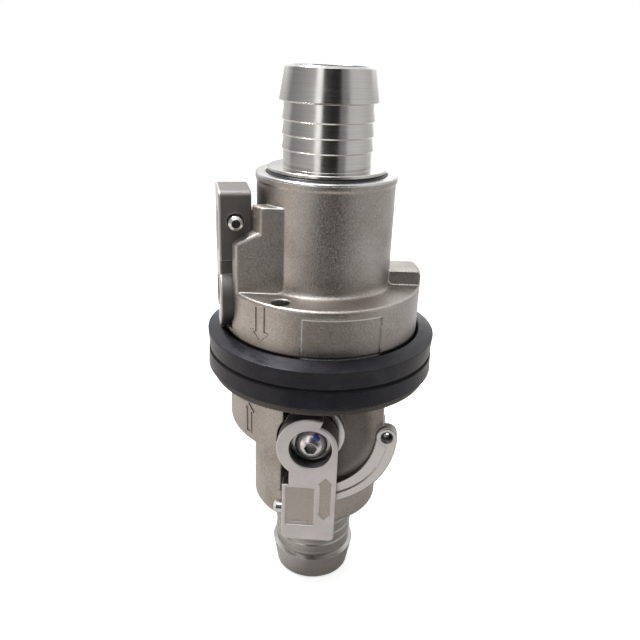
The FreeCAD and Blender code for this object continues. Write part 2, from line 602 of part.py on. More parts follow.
def seat_carrier(half, frame):
    """The screwed ring that holds the front seat; the upper one carries the face seal."""
    face = FACE_DEPTH + " - face_gap / 2"
    outer = "cavity_radius - fit"
    inner = "front_seat_radius + fit"
    groove = "carrier_ring_section + 2 * fit"
    corners = [(inner, "carrier_skirt"), (outer, "carrier_skirt"), (outer, "carrier_groove - %s" % groove.replace("+", "-"))]
    corners += [(outer + " - 2 * carrier_ring_section", "carrier_groove - %s" % groove.replace("+", "-"))]
    corners += [(outer + " - 2 * carrier_ring_section", "carrier_groove + " + groove)]
    corners += [(outer, "carrier_groove + " + groove), (outer, face)]
    if half == "upper":
        near = "face_seal_radius - face_seal_width / 2 - fit"
        far = "face_seal_radius + face_seal_width / 2 + fit"
        corners += [(far, face), (far, face + " - face_seal_depth"), (near, face + " - face_seal_depth"), (near, face)]
    corners += [("seat_radius", face), ("seat_radius", "seat_back + fit"), (inner, "seat_back + fit")]
    keep(turned(half + "_carrier_shape", corners), half + "_seat_carrier", frame)
    torus = doc.addObject("Part::Torus", half + "_carrier_ring_shape")
    torus.setExpression("Radius1", bound("cavity_radius - carrier_ring_section - fit / 2"))
    torus.setExpression("Radius2", bound("carrier_ring_section - fit / 2"))
    place = FreeCAD.Placement(vector(0, 0, "carrier_groove"), FreeCAD.Rotation())
    keep(torus, half + "_carrier_o_ring", frame, place)


def face_seal():
    face = FACE_DEPTH
    inner = "face_seal_radius - face_seal_width / 2"
    outer = "face_seal_radius + face_seal_width / 2"
    corners = [(inner, face + " - face_seal_depth"), (outer, face + " - face_seal_depth")]
    corners += [(outer, face + " - 0.5"), (outer + " - 0.5", face), (inner + " + 0.5", face), (inner, face + " - 0.5")]
    keep(turned("face_seal_shape", corners), "face_seal", UPPER)


def stem_group(half, frame):
    """Stem, thrust washer, packing and gland nut, all turned about the lever's axis."""
    out = FreeCAD.Placement(FreeCAD.Vector(0, 0, 0), OUTWARD)
    low = "ball_flat + face_gap"
    collar = low + " + stem_collar_width"
    corners = [("0", low), ("stem_collar_radius", low), ("stem_collar_radius", collar), ("stem_radius", collar)]
    corners += [("stem_radius", "square_start"), ("0", "square_start")]
    shaft = turned(half + "_stem_shaft", corners)
    shaft.Placement = out
    tang = box(half + "_stem_tang", ("-tang_width / 2", "-ball_flat - face_gap - 0.5", "-stem_collar_radius + 1"),
               ("tang_width / 2", "-ball_flat + tang_depth - face_gap", "stem_collar_radius - 1"))
    side = "square_width / 2"
    square = box(half + "_stem_square", ("-" + side, "-square_end", "-" + side), (side, "-square_start + 1", side))
    hole_low = SCREW_SEAT + " - screw_length - 0.5"
    hole = cylinder(half + "_stem_tapping", "screw_radius + fit", "30", ("0", "-(%s)" % hole_low, "0"), OUTWARD)
    keep(cut(half + "_stem_shape", fuse(half + "_stem_solid", [shaft, tang, square]), [hole]), half + "_stem", frame)
    bore = "stem_radius + fit"
    thrust = ring(half + "_thrust_shape", bore, "packing_radius", THRUST_FLOOR + " - thrust_width - fit", THRUST_FLOOR + " - fit")
    keep(thrust, half + "_thrust_washer", frame, out)
    start = "packing_start + fit"
    packing = ring(half + "_packing_shape", bore, "packing_radius", start, start + " + packing_width")
    keep(packing, half + "_stem_packing", frame, out)
    start = "packing_start + packing_width + 2 * fit"
    nut = ring(half + "_gland_shape", bore, "packing_radius", start, start + " + gland_width")
    keep(nut, half + "_gland_nut", frame, out)


def sunk_arrow(half):
    """A block in the shape of the double-headed arrow in the lever's face."""
    first, last = "-(arrow_start + arrow_head)", "-(arrow_end - arrow_head)"
    right = [("arrow_middle", "-arrow_start"), ("arrow_middle + arrow_head", first),
             ("arrow_middle + arrow_shaft", first), ("arrow_middle + arrow_shaft", last),
             ("arrow_middle + arrow_head", last)]
    left = [("arrow_middle", "-arrow_end"), ("arrow_middle - arrow_head", last),
            ("arrow_middle - arrow_shaft", last), ("arrow_middle - arrow_shaft", first),
            ("arrow_middle - arrow_head", first)]
    body = doc.addObject("PartDesign::Body", half + "_sunk_arrow")
    sketch = outline_sketch(body, "XZ_Plane", right + left, "lever_face - panel_depth")
    pad = body.newObject("PartDesign::Pad", half + "_sunk_arrow_pad")
    pad.Profile = sketch
    pad.setExpression("Length", bound("panel_depth + 1"))
    body.Tip = pad
    return body


def lever(half, frame):
    """The cast lever: hub with a step in its rim, offset grip with a thick end block."""
    back = "-(lever_face - lever_plate)"
    out = "-lever_face"
    large = cylinder(half + "_hub_large", "lever_hub_radius", "lever_plate", ("0", back, "0"), OUTWARD,
                     "lever_hub_sweep", "lever_hub_start")
    small = cylinder(half + "_hub_small", "lever_boss_radius", "lever_face - lever_hub_back",
                     ("0", "-lever_hub_back", "0"), OUTWARD)
    neck = box(half + "_neck", ("-lever_neck", out, "-lever_grip_start - 1"), ("lever_right", back, "0"))
    grip = box(half + "_grip", ("-lever_left", out, "-lever_reach"), ("lever_right", back, "-lever_grip_start"))
    block = box(half + "_block", ("-lever_left", out, "-lever_reach"), ("lever_right", "-grip_back", "-grip_block_start"))
    solid = fuse(half + "_lever_mass", [large, small, neck, grip, block])
    reach = amount("lever_reach")

    def end_corner(edge):
        middle = edge.CenterOfMass
        along = abs(edge.BoundBox.YLength - edge.Length) < 0.01
        return along and abs(middle.z + reach) < 0.01
    soft = rounded(half + "_lever_soft", solid, "grip_corner", end_corner)
    start, inner = amount("grip_block_start"), amount("grip_back")

    def block_edge(edge):
        middle = edge.CenterOfMass
        return abs(middle.z + start) < 0.01 and abs(middle.y + inner) < 0.01
    curved = rounded(half + "_lever_curved", soft, "grip_block_round", block_edge)
    face = amount("lever_face")

    def front_edge(edge):
        return abs(edge.BoundBox.YMin + face) < 0.01 and abs(edge.BoundBox.YMax + face) < 0.01
    edged = rounded(half + "_lever_edged", curved, "lever_edge", front_edge)
    panel = box(half + "_lever_panel", ("-panel_left", out + " - 1", "-panel_end"),
                ("panel_right", out + " + panel_depth", "-panel_start"))
    arrow = sunk_arrow(half)
    pocket = cylinder(half + "_screw_pocket", "screw_pocket_radius", "30", ("0", "-(%s)" % POCKET_FLOOR, "0"), OUTWARD)
    side = "square_width / 2 + fit"
    low = "-(%s)" % side
    square = box(half + "_square_hole", (low, "-60", low), (side, "-20", side))
    mouth_place = ("-lever_left - 1", PIN_DEPTH, "-pin_distance")
    pin_hole = cylinder(half + "_pin_hole", "pin_radius + fit", "lever_left + pin_hole_end + 1", mouth_place, SIDEWAYS)
    mouth = cylinder(half + "_pin_mouth", "pin_mouth_radius", "pin_mouth_depth + 1", mouth_place, SIDEWAYS)
    dowel_hole = cylinder(half + "_dowel_hole", "dowel_radius + fit", "6",
                          ("-dowel_place", "-(grip_back - 1)", "-pin_distance"), OUTWARD)
    openings = [pocket, square, pin_hole, mouth, dowel_hole, panel, arrow]
    keep(cut(half + "_lever_shape", edged, openings), half + "_lever", frame)


def lever_screw(half, frame):
    """Washer and button-head screw that hold the lever on the stem."""
    out = FreeCAD.Placement(FreeCAD.Vector(0, 0, 0), OUTWARD)
    washer = ring(half + "_washer_shape", "screw_radius + 0.2", "washer_radius", POCKET_FLOOR + " + fit",
                  POCKET_FLOOR + " + washer_width")
    keep(washer, half + "_lever_washer", frame, out)
    head = cylinder(half + "_screw_head", "screw_head_radius", "screw_head_height", ("0", "0", SCREW_SEAT))
    rise = "(screw_head_height + 0.5 - 0.8)"
    dome_radius = "(screw_head_radius * screw_head_radius + %s * %s) / (2 * %s)" % (rise, rise, rise)
    dome = doc.addObject("Part::Sphere", half + "_screw_dome")
    dome.setExpression("Radius", bound(dome_radius))
    dome_centre = SCREW_SEAT + " + screw_head_height + 0.5 - " + dome_radius
    dome.setExpression("Placement.Base.z", bound(dome_centre))
    crown = common(half + "_screw_crown", [head, dome])
    shank = cylinder(half + "_screw_shank", "screw_radius", "screw_length + 1", ("0", "0", SCREW_SEAT + " - screw_length"))
    hexagon = doc.addObject("Part::Prism", half + "_screw_hexagon")
    hexagon.Polygon = 6
    hexagon.setExpression("Circumradius", bound("hexagon_width / sqrt(3)"))
    hexagon.setExpression("Height", bound("hexagon_depth + 5"))
    hexagon.setExpression("Placement.Base.z", bound(SCREW_SEAT + " + screw_head_height - hexagon_depth"))
    screw = cut(half + "_screw_shape", fuse(half + "_screw_solid", [crown, shank]), [hexagon])
    keep(screw, half + "_lever_screw", frame, out)


def lock_pin(half, frame):
    """Push pin across the lever's end, its spring and the dowel that keeps it in."""
    length = "pin_stand + lever_left + pin_inner_end"
    corners = [("0", "0"), ("pin_tip_radius", "0"), ("pin_radius", "pin_bevel"), ("pin_radius", length), ("0", length)]
    rod = turned(half + "_pin_rod", corners)
    rod.Placement = FreeCAD.Placement(vector("-lever_left - pin_stand", PIN_DEPTH, "-pin_distance"), SIDEWAYS)
    floor = "%s + pin_radius - dowel_bite - face_gap" % PIN_DEPTH
    notch = box(half + "_pin_notch",
                ("-dowel_place - dowel_radius - pin_travel - 2 * face_gap", floor, "-pin_distance - 5"),
                ("-dowel_place + dowel_radius + face_gap", "-30", "-pin_distance + 5"))
    keep(cut(half + "_pin_shape", rod, [notch]), half + "_lock_pin", frame)
    dowel_length = "-(%s) - pin_radius + dowel_bite - grip_back - 0.2" % PIN_DEPTH
    corners = [("0", "0"), ("dowel_radius", "0"), ("dowel_radius", dowel_length), ("0", dowel_length)]
    dowel = turned(half + "_dowel_shape", corners)
    place = FreeCAD.Placement(vector("-dowel_place", "-grip_back - 0.2", "-pin_distance"), OUTWARD)
    keep(dowel, half + "_lock_dowel", frame, place)
    room = amount("pin_hole_end - pin_inner_end - 2 * face_gap - 2 * spring_wire")
    helix = Part.makeHelix(room / amount("spring_turns"), room, amount("spring_radius"))
    start = Part.Circle(vector("spring_radius", 0, 0), FreeCAD.Vector(0, 1, 0), amount("spring_wire"))
    coil = doc.addObject("Part::Feature", half + "_spring_shape")
    coil.Shape = Part.Wire(helix).makePipeShell([Part.Wire(start.toShape())], True, True)
    base = vector("pin_inner_end + face_gap + spring_wire", PIN_DEPTH, "-pin_distance")
    keep(coil, half + "_lock_spring", frame, FreeCAD.Placement(base, SIDEWAYS))


lower_body()
upper_body()
bumpers()
face_seal()
for half, frame in HALVES:
    hose_tail(half, frame)
    tail_ring(half, frame)
    ball(half, frame)
    seats(half, frame)
    seat_carrier(half, frame)
    stem_group(half, frame)
    lever(half, frame)
    lever_screw(half, frame)
    lock_pin(half, frame)

doc.recompute()
broken = [item.Name for item in doc.Objects if "Invalid" in item.State or "Error" in item.State]
if broken:
    raise RuntimeError("not built: " + ", ".join(broken))
for piece in pieces:
    if piece.Shape.isNull() or not piece.Shape.isValid():
        raise RuntimeError("bad shape: " + piece.Label)
os.makedirs("parts", exist_ok=True)
for piece in pieces:
    piece.Shape.exportStep("parts/%s.step" % piece.Label)
    print("%-22s solids %d volume %9.1f" % (piece.Label, len(piece.Shape.Solids), piece.Shape.Volume))
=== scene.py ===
"""Finishes, cast marks and studio for the dry break coupling."""

import math

import bmesh
import bpy
from mathutils import Matrix, Vector


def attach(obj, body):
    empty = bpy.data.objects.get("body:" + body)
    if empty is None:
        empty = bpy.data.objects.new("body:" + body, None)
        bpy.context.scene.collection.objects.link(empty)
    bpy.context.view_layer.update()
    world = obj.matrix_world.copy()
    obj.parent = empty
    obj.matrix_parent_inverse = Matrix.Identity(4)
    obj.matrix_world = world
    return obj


bl_info = {
    "name": "Dry Break Coupling Finish",
    "version": (1, 0, 0),
    "blender": (4, 5, 0),
    "location": "View3D > Sidebar > Coupling",
    "description": "Finishes the metal, rubber and cast marks of a dry break coupling",
    "category": "Object",
}

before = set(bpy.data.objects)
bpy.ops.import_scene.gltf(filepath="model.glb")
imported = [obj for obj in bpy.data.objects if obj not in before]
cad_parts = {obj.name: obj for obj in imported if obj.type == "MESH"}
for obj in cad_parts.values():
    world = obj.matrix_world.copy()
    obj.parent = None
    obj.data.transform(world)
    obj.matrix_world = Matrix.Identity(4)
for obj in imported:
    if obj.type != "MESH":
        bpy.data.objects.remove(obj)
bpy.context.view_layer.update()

MM = 0.001
PHOTO_SIDE = 640

# Each half is described in its valve frame: origin at the ball's centre, tail down, lever to -Y
LOWER_BALL = 0.096
UPPER_BALL = 0.152
LEVER_TURN = 75.0
TURN_ANGLE = math.radians(-90 - LEVER_TURN / 2)
TURN_AXIS = Vector((math.cos(TURN_ANGLE), math.sin(TURN_ANGLE), 0))
VALVE_FRAMES = {
    "lower": Matrix.Translation((0, 0, LOWER_BALL)),
    "upper": Matrix.Translation((0, 0, UPPER_BALL)) @ Matrix.Rotation(math.pi, 4, TURN_AXIS),
}
HALVES = ("lower", "upper")

# Places in a half's valve frame where a finish changes, in millimetres; pairs are (from, to).
# Joint of the two bumper rings in the lower valve frame, darkened as painted shade
JOINT_HEIGHT, JOINT_HALF = 30.6, 0.75
# The machined face of the stop sector, and the eye in its end, which gets painted shade
SECTOR_FACE, SECTOR_ACROSS = (-35.6, -32.45), (-12.3, 39.0)
SECTOR_ALONG, SECTOR_REACH = (-39.0, 16.0), 37.7
EYE_CENTRE, EYE_RADIUS, EYE_DEPTH = 32.85, 2.8, (-32.95, -29.8)
# The pad beside the stem that gets painted shade: its plane, where the painted shade starts across and how
# far it reaches
PAD_PLANE, PAD_ACROSS, PAD_REACH = (-30.1, -29.9), (-9.0, 40.0), 23.0
# The height below which the upper body's end lip is machined, and the groove beside its bumper, which gets
# painted shade
LIP_START = -52.6
GROOVE_ALONG, GROOVE_REACH = (14.3, 19.0), (42.5, 46.0)
# The lower body's flange under the bumper, which gets painted shade
FLANGE_ALONG, FLANGE_REACH = (18.4, 22.0), (43.6, 52.0)
# The bare panel in the upper housing: its height, the direction of its left side, and the
# heights, widths and depths of the two ledges that get a painted highlight
LABEL_ALONG, LABEL_EDGE = (-2.45, 14.0), math.radians(-157.5)
LEDGE_ALONG, LEDGE_WIDTH, LEDGE_REACH = (-2.45, -1.7), (-0.05, 0.6), (42.5, 43.65)
# The lever's sunk floor, where its cast sides begin, and the bore round its screw; the sides and the bore
# get painted shade
PANEL_FLOOR, LEVER_SIDES = (-46.5, -46.3), (-46.2, -45.9)
POCKET_RADIUS, POCKET_DEPTH = 9.6, (-46.7, -39.0)
# The screw's hexagon
SOCKET_RADIUS, SOCKET_DEPTH = 2.95, (-45.6, -40.0)

# Places of the small pieces in a half's valve frame, in metres: the panel bar's two corners, and
# the radius and the outermost point of the screw head's crown
PANEL_BAR = ((-0.0083, -0.0467, -0.0383), (-0.0003, -0.0463, -0.0377))
SCREW_CROWN, SCREW_PEAK = 0.00803, -0.04645
# Dabs of paint on the screw: across, up, share of the dot's radius; how far a dab's middle and
# its rim stand off the crown, and how thick it is
PAINT_DABS = ((0.0021, 0.0052, 1.0), (0.0030, 0.0042, 0.85))
DAB_MIDDLE, DAB_RIM, DAB_THICKNESS = 0.00012, 0.00003, 0.00025
# Flow arrows: height of tip and tail, radius of the wall, degrees round from X, share of full width
FLOW_ARROWS = {
    "upper": (0.1405, 0.1566, 0.0439, -122.0, 1.0),
    "lower": (0.1078, 0.0930, 0.0420, -133.5, 0.72),
}
# How far an arrow starts below the wall that carries it, and the longest edge that isn't cut to
# bend with the wall
MARK_SUNK, LONG_EDGE = 0.0001, 0.002


class CouplingFinishes(bpy.types.PropertyGroup):
    """Colours of the coupling's finishes"""

    casting: bpy.props.FloatVectorProperty(
        name="Casting", description="Blasted stainless casting", subtype="COLOR",
        default=(0.475, 0.440, 0.410), min=0, max=1)
    casting_shade: bpy.props.FloatVectorProperty(
        name="Casting shade", description="Darker patches of the casting", subtype="COLOR",
        default=(0.400, 0.365, 0.335), min=0, max=1)
    machined: bpy.props.FloatVectorProperty(
        name="Machined faces", description="Rims and stop sector", subtype="COLOR",
        default=(0.650, 0.640, 0.630), min=0, max=1)
    lever: bpy.props.FloatVectorProperty(
        name="Lever", description="Satin lever casting", subtype="COLOR",
        default=(0.680, 0.660, 0.655), min=0, max=1)
    turned: bpy.props.FloatVectorProperty(
        name="Turned steel", description="Hose tails and turned parts", subtype="COLOR",
        default=(0.62, 0.605, 0.58), min=0, max=1)
    polished: bpy.props.FloatVectorProperty(
        name="Polished steel", description="Screws, pins and balls", subtype="COLOR",
        default=(0.72, 0.71, 0.70), min=0, max=1)
    rubber: bpy.props.FloatVectorProperty(
        name="Rubber", description="Bumper rings", subtype="COLOR",
        default=(0.0054, 0.0052, 0.0080), min=0, max=1)
    seal: bpy.props.FloatVectorProperty(
        name="Seal rubber", description="O-rings and face seal", subtype="COLOR",
        default=(0.012, 0.012, 0.013), min=0, max=1)
    seat: bpy.props.FloatVectorProperty(
        name="Seat plastic", description="Seats, packings and thrust washers", subtype="COLOR",
        default=(0.86, 0.85, 0.82), min=0, max=1)
    paint: bpy.props.FloatVectorProperty(
        name="Paint", description="Dot of paint on the lower screw", subtype="COLOR",
        default=(0.012, 0.035, 0.24), min=0, max=1)


class CouplingMarks(bpy.types.PropertyGroup):
    """Sizes of the cast marks"""

    arrow_head: bpy.props.FloatProperty(
        name="Arrow head", description="Width of a flow arrow's head", subtype="DISTANCE",
        default=0.0098, min=0.004, max=0.02)
    arrow_shaft: bpy.props.FloatProperty(
        name="Arrow shaft", description="Width of a flow arrow's shaft", subtype="DISTANCE",
        default=0.0050, min=0.002, max=0.015)
    arrow_line: bpy.props.FloatProperty(
        name="Arrow line", description="Width of a flow arrow's raised line", subtype="DISTANCE",
        default=0.0006, min=0.0001, max=0.002)
    arrow_rise: bpy.props.FloatProperty(
        name="Arrow rise", description="Height of a flow arrow's raised line", subtype="DISTANCE",
        default=0.0004, min=0.0001, max=0.001)
    dot_radius: bpy.props.FloatProperty(
        name="Paint dot", description="Radius of the dot of paint", subtype="DISTANCE",
        default=0.00100, min=0.0003, max=0.003)


class CouplingStudio(bpy.types.PropertyGroup):
    """Camera and light of the studio"""

    distance: bpy.props.FloatProperty(
        name="Camera distance", description="Camera to the main axis, level", subtype="DISTANCE",
        default=0.2857, min=0.1, max=2)
    height: bpy.props.FloatProperty(
        name="Camera height", description="Camera above the lower tail's end", subtype="DISTANCE",
        default=0.25285, min=0, max=2)
    side: bpy.props.FloatProperty(
        name="Camera side", description="Camera's shift to its left", subtype="DISTANCE",
        default=0.00043, min=-0.05, max=0.05)
    pitch: bpy.props.FloatProperty(
        name="Pitch", description="How far the camera looks down", subtype="ANGLE",
        default=math.radians(22.1))
    azimuth: bpy.props.FloatProperty(
        name="Azimuth", description="Camera round from the lower lever", subtype="ANGLE",
        default=math.radians(3))
    roll: bpy.props.FloatProperty(
        name="Roll", description="Camera's tilt about its own axis", subtype="ANGLE",
        default=math.radians(2.2))
    focal_pixels: bpy.props.FloatProperty(
        name="Focal length", description="In pixels of the photograph", default=660, min=100, max=5000)
    daylight: bpy.props.FloatProperty(
        name="Daylight", description="Strength of the even light", default=0.62, min=0, max=3)
    lamp_power: bpy.props.FloatProperty(
        name="Lamp", description="Power of the lamp above", subtype="POWER", default=3.2, min=0, max=50)


class Finish:
    """A node material being put together; plain values stay on the shader's own sockets."""

    def __init__(self, name, roughness=0.5, metallic=0.0):
        self.material = bpy.data.materials.new(name)
        self.material.use_nodes = True
        self.tree = self.material.node_tree
        self.shader = self.tree.nodes["Principled BSDF"]
        self.shader.inputs["Roughness"].default_value = roughness
        self.shader.inputs["Metallic"].default_value = metallic

    def feed(self, socket, value):
        """Link a node's output to a socket, or set the socket to a plain value."""
        if isinstance(value, bpy.types.NodeSocket):
            self.tree.links.new(value, socket)
        else:
            socket.default_value = value

    def node(self, kind, settings=(), **values):
        """A new shader node; keywords name its inputs."""
        made = self.tree.nodes.new("ShaderNode" + kind)
        for key, value in dict(settings).items():
            setattr(made, key, value)
        for key, value in values.items():
            self.feed(made.inputs[key.replace("_", " ").title()], value)
        return made

    def calc(self, operation, first, second=0.0):
        """A sum, product or other calculation with one or two values."""
        made = self.tree.nodes.new("ShaderNodeMath")
        made.operation = operation
        for socket, value in zip(made.inputs, (first, second)):
            self.feed(socket, value)
        return made.outputs[0]

    def length(self, first, second):
        """How far a point is from an axis, from its two distances."""
        squares = [self.calc("MULTIPLY", value, value) for value in (first, second)]
        return self.calc("SQRT", self.calc("ADD", *squares))

    def place(self, half="lower"):
        """Where a point stands in a half's valve frame, in millimetres."""
        back = VALVE_FRAMES[half].inverted()
        made = self.node("Mapping", {"vector_type": "POINT"})
        made.inputs["Location"].default_value = back.translation / MM
        made.inputs["Rotation"].default_value = back.to_euler()
        made.inputs["Scale"].default_value = (1 / MM, 1 / MM, 1 / MM)
        self.feed(made.inputs["Vector"], self.node("TexCoord").outputs["Object"])
        return made.outputs["Vector"]

    def parts(self, vector):
        """A vector's three parts."""
        split = self.node("SeparateXYZ", Vector=vector)
        return split.outputs[0], split.outputs[1], split.outputs[2]

    def stretched(self, vector, x, y, z):
        """A vector with each part scaled on its own."""
        made = self.node("VectorMath", {"operation": "MULTIPLY"})
        self.feed(made.inputs[0], vector)
        self.feed(made.inputs[1], (x, y, z))
        return made.outputs[0]

    def shaded(self, color, tone):
        """A colour times a value."""
        made = self.node("VectorMath", {"operation": "SCALE"})
        self.feed(made.inputs[0], color)
        self.feed(made.inputs["Scale"], tone)
        return made.outputs[0]

    def noise(self, vector, scale, detail=3.0, rough=0.55):
        """A cloudy pattern from 0 to 1."""
        made = self.node("TexNoise", Vector=vector, Scale=scale, Detail=detail, Roughness=rough)
        return made.outputs[0]

    def ranged(self, value, low, high, to_low=0.0, to_high=1.0):
        """A value led smoothly from one range to another."""
        made = self.tree.nodes.new("ShaderNodeMapRange")
        made.interpolation_type = "SMOOTHSTEP"
        for socket, number in zip(made.inputs, (value, low, high, to_low, to_high)):
            self.feed(socket, number)
        return made.outputs[0]

    def blend(self, factor, first, second):
        """A colour between two others."""
        made = self.tree.nodes.new("ShaderNodeMix")
        made.data_type = "RGBA"
        self.feed(made.inputs[0], factor)
        for socket, value in ((made.inputs[6], first), (made.inputs[7], second)):
            if not isinstance(value, bpy.types.NodeSocket):
                value = (*value, 1.0)
            self.feed(socket, value)
        return made.outputs[2]

    def below(self, value, high, soft=0.08):
        """1 where a length is less than a limit, fading over the soft length past it."""
        return self.ranged(value, high, high + soft, 1.0, 0.0)

    def inside(self, value, low, high, soft=0.08):
        """1 where a length lies between two limits."""
        above = self.ranged(value, low - soft, low)
        return self.calc("MULTIPLY", above, self.below(value, high, soft))

    def all_of(self, masks):
        """Where every mask holds."""
        product = masks[0]
        for mask in masks[1:]:
            product = self.calc("MULTIPLY", product, mask)
        return product

    def soft_edge(self, radius):
        """The normal of an edge broken to this radius, and how near an edge a point is."""
        made = self.node("Bevel", {"samples": 8}, Radius=radius)
        dot = self.node("VectorMath", {"operation": "DOT_PRODUCT"})
        self.feed(dot.inputs[0], made.outputs[0])
        self.feed(dot.inputs[1], self.node("NewGeometry").outputs["Normal"])
        return made.outputs[0], self.ranged(dot.outputs["Value"], 0.80, 0.995, 1.0, 0.0)

    def bump(self, height, distance, strength=1.0, under=None):
        """The normal of a raised pattern, over another normal if there is one."""
        made = self.node("Bump", Strength=strength, Distance=distance, Height=height)
        if under is not None:
            self.feed(made.inputs["Normal"], under)
        return made.outputs[0]

    def done(self, color, roughness=None, normal=None):
        """Wire the shader and hand the material over."""
        self.feed(self.shader.inputs["Base Color"], color)
        if roughness is not None:
            self.feed(self.shader.inputs["Roughness"], roughness)
        if normal is not None:
            self.feed(self.shader.inputs["Normal"], normal)
        return self.material


# Colours of worn edges with a painted highlight, painted edge highlights, a painted ledge highlight and
# painted deep shade
WORN_AND_HIGHLIT_EDGE = (0.78, 0.76, 0.73)
TURNED_EDGE_HIGHLIGHT = (0.82, 0.81, 0.80)
SCREW_EDGE_HIGHLIGHT = (0.85, 0.84, 0.83)
LEDGE_HIGHLIGHT = (0.95, 0.92, 0.89)
PAINTED_SHADE_COLOUR = (0.02, 0.02, 0.02)
# How far the ledges' painted highlight and the castings' painted shade cover the colour below, and the
# pad's part of that painted shade
LEDGE_HIGHLIGHT_SHARE, PAINTED_SHADE_SHARE, PAD_SHADE_SHARE = 0.8, 0.82, 0.78
# The rubber's bloom and painted edge highlight, the rings' joint in painted shade, and how strong and how
# tinted its reflections are
RUBBER_BLOOM_AND_HIGHLIGHT, JOINT_SHADE = (0.20, 0.20, 0.21), (0.001, 0.001, 0.001)
RUBBER_SHEEN, RUBBER_TINT = 0.30, (0.94, 0.92, 1.0)


def scaled(color, share):
    """A darker or lighter shade of a colour."""
    return tuple(share * part for part in color)


def dress(material, *nodes):
    """Give CAD nodes a finish."""
    for name in nodes:
        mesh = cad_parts[name].data
        mesh.materials.clear()
        mesh.materials.append(material)


def both(part):
    """The names of a part in the two halves."""
    return [half + "_" + part for half in HALVES]


def settled_mesh(name, bm):
    """A mesh from a bmesh, with its points and faces in the same order in every run."""
    points = sorted(bm.verts, key=lambda vert: tuple(vert.co))
    numbers = {vert: number for number, vert in enumerate(points)}
    faces = sorted([numbers[vert] for vert in face.verts] for face in bm.faces)
    mesh = bpy.data.meshes.new(name)
    mesh.from_pydata([tuple(vert.co) for vert in points], [], faces)
    bm.free()
    return mesh


def mesh_piece(name, bm, body, material, smooth=False):
    """A finished piece from a bmesh, riding on a body."""
    mesh = settled_mesh(name, bm)
    piece = bpy.data.objects.new(name, mesh)
    bpy.context.scene.collection.objects.link(piece)
    mesh.materials.append(material)
    if smooth:
        for face in mesh.polygons:
            face.use_smooth = True
    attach(piece, body)
    return piece


def panel_ledge_highlight(made, x, y, z, reach):
    """Where the bare panel's tail side and left side step down into the housing wall, for a painted
    highlight.
    """
    left = made.calc("SUBTRACT", made.calc("MULTIPLY", x, math.sin(LABEL_EDGE)),
                     made.calc("MULTIPLY", y, math.cos(LABEL_EDGE)))
    steps = made.calc("MAXIMUM", made.inside(z, *LEDGE_ALONG), made.inside(left, *LEDGE_WIDTH))
    return made.all_of([steps, made.inside(reach, *LEDGE_REACH), made.below(x, 0.0),
                        made.inside(z, *LABEL_ALONG)])


def casting_finish(half, colors):
    """Blasted casting with a machined stop sector, and on the upper half a machined end lip."""
    made = Finish(half + "_casting", roughness=0.5, metallic=1.0)
    place = made.place(half)
    x, y, z = made.parts(place)
    patches = made.ranged(made.noise(place, 0.045, 4.0), 0.40, 0.66)
    grain = made.noise(place, 1.45, 4.0, 0.65)
    pits = made.ranged(made.noise(place, 1.1, 2.0), 0.30, 0.42)
    color = made.blend(patches, tuple(colors.casting), tuple(colors.casting_shade))
    color = made.shaded(color, made.ranged(grain, 0.32, 0.68, 0.77, 1.12))
    turned = made.length(x, z)
    reach = made.length(x, y)
    front = made.all_of([made.inside(y, *SECTOR_FACE), made.inside(x, *SECTOR_ACROSS),
                         made.inside(z, *SECTOR_ALONG), made.below(turned, SECTOR_REACH)])
    if half == "upper":
        machined = made.calc("MAXIMUM", front, made.below(z, LIP_START, soft=0.1))
        # Painted shade in the groove beside the bumper
        painted_shade = made.all_of([made.inside(z, *GROOVE_ALONG, soft=0.6), made.inside(reach, *GROOVE_REACH)])
        ledge_highlight = panel_ledge_highlight(made, x, y, z, reach)
        # Painted highlight along the panel's ledges
        color = made.blend(made.calc("MULTIPLY", ledge_highlight, LEDGE_HIGHLIGHT_SHARE), color, LEDGE_HIGHLIGHT)
    else:
        machined = front
        # Painted shade on the flange under the bumper
        painted_shade = made.all_of([made.inside(z, *FLANGE_ALONG, soft=0.2),
                             made.inside(reach, *FLANGE_REACH, soft=0.4)])
    # Painted shade in the sector's eye and on the pad beside the stem
    eye = made.length(made.calc("SUBTRACT", x, EYE_CENTRE), z)
    eye = made.all_of([made.below(eye, EYE_RADIUS, soft=0.1), made.inside(y, *EYE_DEPTH, soft=0.05)])
    pad_shade = made.all_of([made.inside(y, *PAD_PLANE), made.inside(x, *PAD_ACROSS, soft=6.0),
                       made.below(turned, PAD_REACH, soft=7.0)])
    painted_shade = made.calc("MAXIMUM", made.calc("MAXIMUM", painted_shade, eye), made.calc("MULTIPLY", pad_shade, PAD_SHADE_SHARE))
    scratches = made.noise(made.stretched(place, 0.25, 0.25, 9.0), 1.0, 3.0)
    color = made.blend(machined, color, tuple(colors.machined))
    normal, edge = made.soft_edge(0.0013)
    # Worn edges, lightened further as a painted highlight
    wear_and_highlight = made.calc("MULTIPLY", edge, made.calc("SUBTRACT", 0.85, made.calc("MULTIPLY", front, 0.7)))
    color = made.blend(wear_and_highlight, color, WORN_AND_HIGHLIT_EDGE)
    # Painted shade: these places are darkened towards black
    color = made.blend(made.calc("MULTIPLY", painted_shade, PAINTED_SHADE_SHARE), color, PAINTED_SHADE_COLOUR)
    rough = made.calc("ADD", made.ranged(grain, 0.3, 0.7, 0.33, 0.43), made.calc("MULTIPLY", patches, 0.05))
    rough = made.calc("SUBTRACT", rough, made.calc("MULTIPLY", machined, 0.17))
    rough = made.calc("SUBTRACT", rough, made.calc("MULTIPLY", wear_and_highlight, 0.15))
    blasted = made.calc("MULTIPLY", made.calc("ADD", grain, made.calc("MULTIPLY", pits, 0.35)),
                        made.calc("SUBTRACT", 1.0, machined))
    scratched = made.calc("MULTIPLY", scratches, made.calc("MULTIPLY", machined, 0.10))
    height = made.calc("ADD", blasted, scratched)
    return made.done(color, rough, made.bump(height, 0.00011, 0.8, normal))


